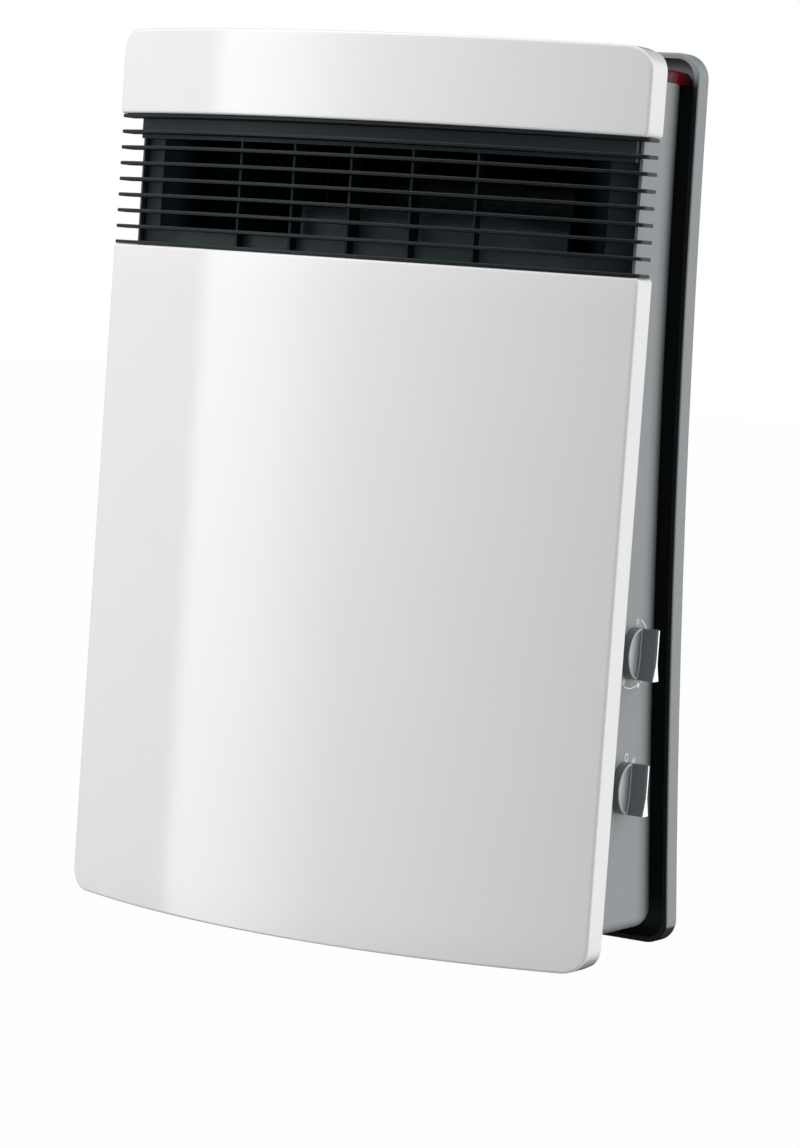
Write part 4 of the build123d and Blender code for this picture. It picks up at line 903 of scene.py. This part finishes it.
def knob_grip(back_x, centre_y, centre_z):
    """Closed body of the grip and its painted sheen. A loop's height on the knob is the radius times
    the sine of a turn, and its width ends at the radius times the cosine."""
    end = math.acos(GRIP_TIP / KNOB_RADIUS)
    turn = np.linspace(-end, end, GRIP_LOOPS)[:, None]
    z = KNOB_RADIUS * np.sin(turn)
    across = np.minimum(grip_half(z) + GRIP_SIDE_OUT, KNOB_RADIUS * np.cos(turn))
    height = back_x + KNOB_DISC + GRIP_SIDE_UP
    one_side = points(height, centre_y - across, centre_z + z)
    other_side = points(height, centre_y + across, centre_z + z)[:, ::-1]
    sheen = np.tile(np.concatenate([GRIP_SIDE_SHEEN, GRIP_SIDE_SHEEN[::-1]]), len(turn))
    return loop_solid(np.concatenate([one_side, other_side], axis=1)), sheen


print("grip:", GRIP_HEIGHT, "mm high")

# %% [markdown]
# The inlay is a thin plate of bright metal on the grip's end. It follows the grip's width, set in
# from it, and least where the grip is widest.

# %% Make the knobs and inlays
KNOB_CREASE = 35.0
INLAY_WALL = 0.6
INLAY_INSET = 0.5
INLAY_GAP = 0.05
INLAY_END = 1.35
INLAY_STEPS = 61


def make_knob(node, inlay_node, body):
    """A knob's disc and grip as one piece, and the inlay on the grip's end as another."""
    low, high = box_mm(node)
    centre_y, centre_z = (low[1] + high[1]) / 2, (low[2] + high[2]) / 2
    back_x = high[0] - GRIP_HEIGHT - KNOB_DISC
    disc, disc_sheen = knob_disc(low[0], back_x, centre_y, centre_z)
    grip, grip_sheen = knob_grip(back_x, centre_y, centre_z)
    sheen = np.concatenate([disc_sheen, grip_sheen])
    shape = merged([disc, grip])
    piece_from(node + "_smooth", shape, knob_grey, body, node, KNOB_CREASE, sheen)
    turn = np.linspace(-INLAY_END, INLAY_END, INLAY_STEPS)
    z = KNOB_RADIUS * np.sin(turn)
    inset = INLAY_INSET * (1 - np.maximum(0, -z / KNOB_RADIUS)) + INLAY_GAP
    half = np.minimum(grip_half(z) - inset, KNOB_RADIUS * np.cos(turn))
    ring_y = centre_y + np.concatenate([half, -half[::-1]])
    ring_z = centre_z + np.concatenate([z, z[::-1]])
    plate_x = high[0] + np.array([[-INLAY_GAP], [INLAY_WALL]])
    plate = loop_solid(points(plate_x, ring_y, ring_z))
    silver = finishes["inlay_silver"]
    piece_from(inlay_node + "_smooth", plate, silver, body, inlay_node)


make_knob("thermostat_knob", "thermostat_knob_inlay", "thermostat_control")
make_knob("selector_knob", "selector_knob_inlay", "selector_control")

# %% [markdown]
# ## Dial marks
# Small white marks are printed round each knob on the housing's side: a snowflake, arcs and heat
# drops at the thermostat, and an upright zero and a small sign at the selector. They could be a
# picture laid on the housing. Thin flat strips a hair above it stay sharp at any size, and need
# nothing but a line of points each, in millimetres back and up from the knob's centre.

# %% Strokes of a mark
PRINT_HEIGHT = 0.05 * MM
side_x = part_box("housing")[1][0] + PRINT_HEIGHT
print_white = moulded("print_white", (0.98, 0.98, 0.98), 0.5, 0.3, 0.01, 0.02)


def arc_points(centre, radius, start, end, count=14, squeeze=1.0):
    """Points along an arc: the centre plus the radius times the cosine and sine of an angle, in
    degrees from the back towards the top, with the height times squeeze."""
    angles = np.radians(np.linspace(start, end, count))
    way = np.stack([np.cos(angles), squeeze * np.sin(angles)], axis=1)
    return np.array(centre) + radius * way


def strip(line, width):
    """Points and quads of a flat line: each point is moved by half the width to either side, square
    to the way the line runs there."""
    line = np.asarray(line, dtype=float)
    way = np.gradient(line, axis=0)
    way /= np.linalg.norm(way, axis=1)[:, None]
    side = np.stack([-way[:, 1], way[:, 0]], axis=1) * width / 2
    first = np.arange(len(line) - 1)
    second = first + len(line)
    quads = np.stack([first, first + 1, second + 1, second], axis=1)
    return np.concatenate([line - side, line + side]), quads


def print_marks(name, knob, strokes):
    """Makes one flat piece from strokes, each a line of points and a width, round a knob."""
    low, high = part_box(knob)
    flats = []
    for line, width in strokes:
        flat, quads = strip(line, width)
        y = (low[1] + high[1]) / 2 + flat[:, 0] * MM
        z = (low[2] + high[2]) / 2 + flat[:, 1] * MM
        flats.append((points(side_x, y, z).tolist(), quads.tolist()))
    verts, faces = merged(flats)
    mesh = bpy.data.meshes.new(name)
    mesh.from_pydata(verts, [], faces)
    mesh.materials.append(print_white)
    piece = bpy.data.objects.new(name, mesh)
    scene.collection.objects.link(piece)
    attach(piece, "heater")
    print(name, len(faces), "faces")


# %% [markdown]
# A snowflake is three crossed bars and a small ring. A heat drop is a circle drawn with a stroke so
# wide that it fills itself.

# %% Print the dial marks
STROKE = 0.55
THIN_STROKE = 0.35
DIAL_CENTRE = (0, 0)
DIAL_RADIUS = 16.5
FLAKE_PLACE = (2.4, 14.6)
FLAKE_REACH = 2.1
FLAKE_RING = 1.3
LARGE_DROP = 0.85
SMALL_DROP = 0.7
ZERO_RADIUS = 1.45
HOOK_RADIUS = 1.2

snowflake = [(arc_points(FLAKE_PLACE, FLAKE_REACH, a, a + 180, 2), STROKE) for a in (210, 270, 330)]
thermostat_strokes = snowflake + [
    (arc_points(FLAKE_PLACE, FLAKE_RING, 0, 360, 19), THIN_STROKE),
    (arc_points(DIAL_CENTRE, DIAL_RADIUS, 69, 39), STROKE),
    (arc_points(DIAL_CENTRE, DIAL_RADIUS, 248, 292), STROKE),
    (arc_points((-7.1, -13.1), LARGE_DROP, 90, 450, 17), 1.4),
    (arc_points((7.9, -15.4), SMALL_DROP, 90, 450, 17, 1.05), 1.2),
    ([(10.2, -13.2), (11.0, -14.4)], 0.5),
]
print_marks("thermostat_marks", "thermostat_knob", thermostat_strokes)
selector_strokes = [
    (arc_points((1.6, 14.1), ZERO_RADIUS, 0, 360, 25, 1.25), STROKE),
    ([(7.4, 11.0), (8.6, 13.2)], 0.8),
    (arc_points((9.5, 12.2), HOOK_RADIUS, -120, 90), STROKE),
    ([(9.2, 12.2), (10.9, 12.2)], 0.6),
]
print_marks("selector_marks", "selector_knob", selector_strokes)

# %% [markdown]
# ## Floor
# A plain floor for the heater to stand on. The camera sees it almost pure white, with only a breath
# of the heater's shadow, as on a cut-out picture. Its own grey throws little light back up, or the
# covers' lower parts would be too bright.

# %% Lay the floor
FLOOR_CORNERS = [(-6, -4, 0), (6, -4, 0), (6, 8, 0), (-6, 8, 0)]
FLOOR_GREY = (0.3, 0.3, 0.3)
FLOOR_ROUGHNESS = 0.9
SEEN_WHITE = 0.98

floor_mesh = bpy.data.meshes.new("floor")
floor_mesh.from_pydata(FLOOR_CORNERS, [], [(0, 1, 2, 3)])
floor = bpy.data.objects.new("floor", floor_mesh)
scene.collection.objects.link(floor)
floor_material, floor_tree, floor_shader = new_material("floor_white")
link_or_set(floor_tree, floor_shader.inputs["Base Color"], FLOOR_GREY)
floor_shader.inputs["Roughness"].default_value = FLOOR_ROUGHNESS
glow = floor_tree.nodes.new("ShaderNodeEmission")
link_or_set(floor_tree, glow.inputs["Color"], WHITE)
seen = floor_tree.nodes.new("ShaderNodeLightPath").outputs["Is Camera Ray"]
floor_mix = floor_tree.nodes.new("ShaderNodeMixShader")
floor_tree.links.new(calculate(floor_tree, "MULTIPLY", seen, SEEN_WHITE), floor_mix.inputs[0])
floor_tree.links.new(floor_shader.outputs[0], floor_mix.inputs[1])
floor_tree.links.new(glow.outputs[0], floor_mix.inputs[2])
floor_tree.links.new(floor_mix.outputs[0], floor_tree.nodes["Material Output"].inputs["Surface"])
floor_mesh.materials.append(floor_material)
# the covers mirror the studio's walls, not the floor
floor.visible_glossy = False
print("floor laid")
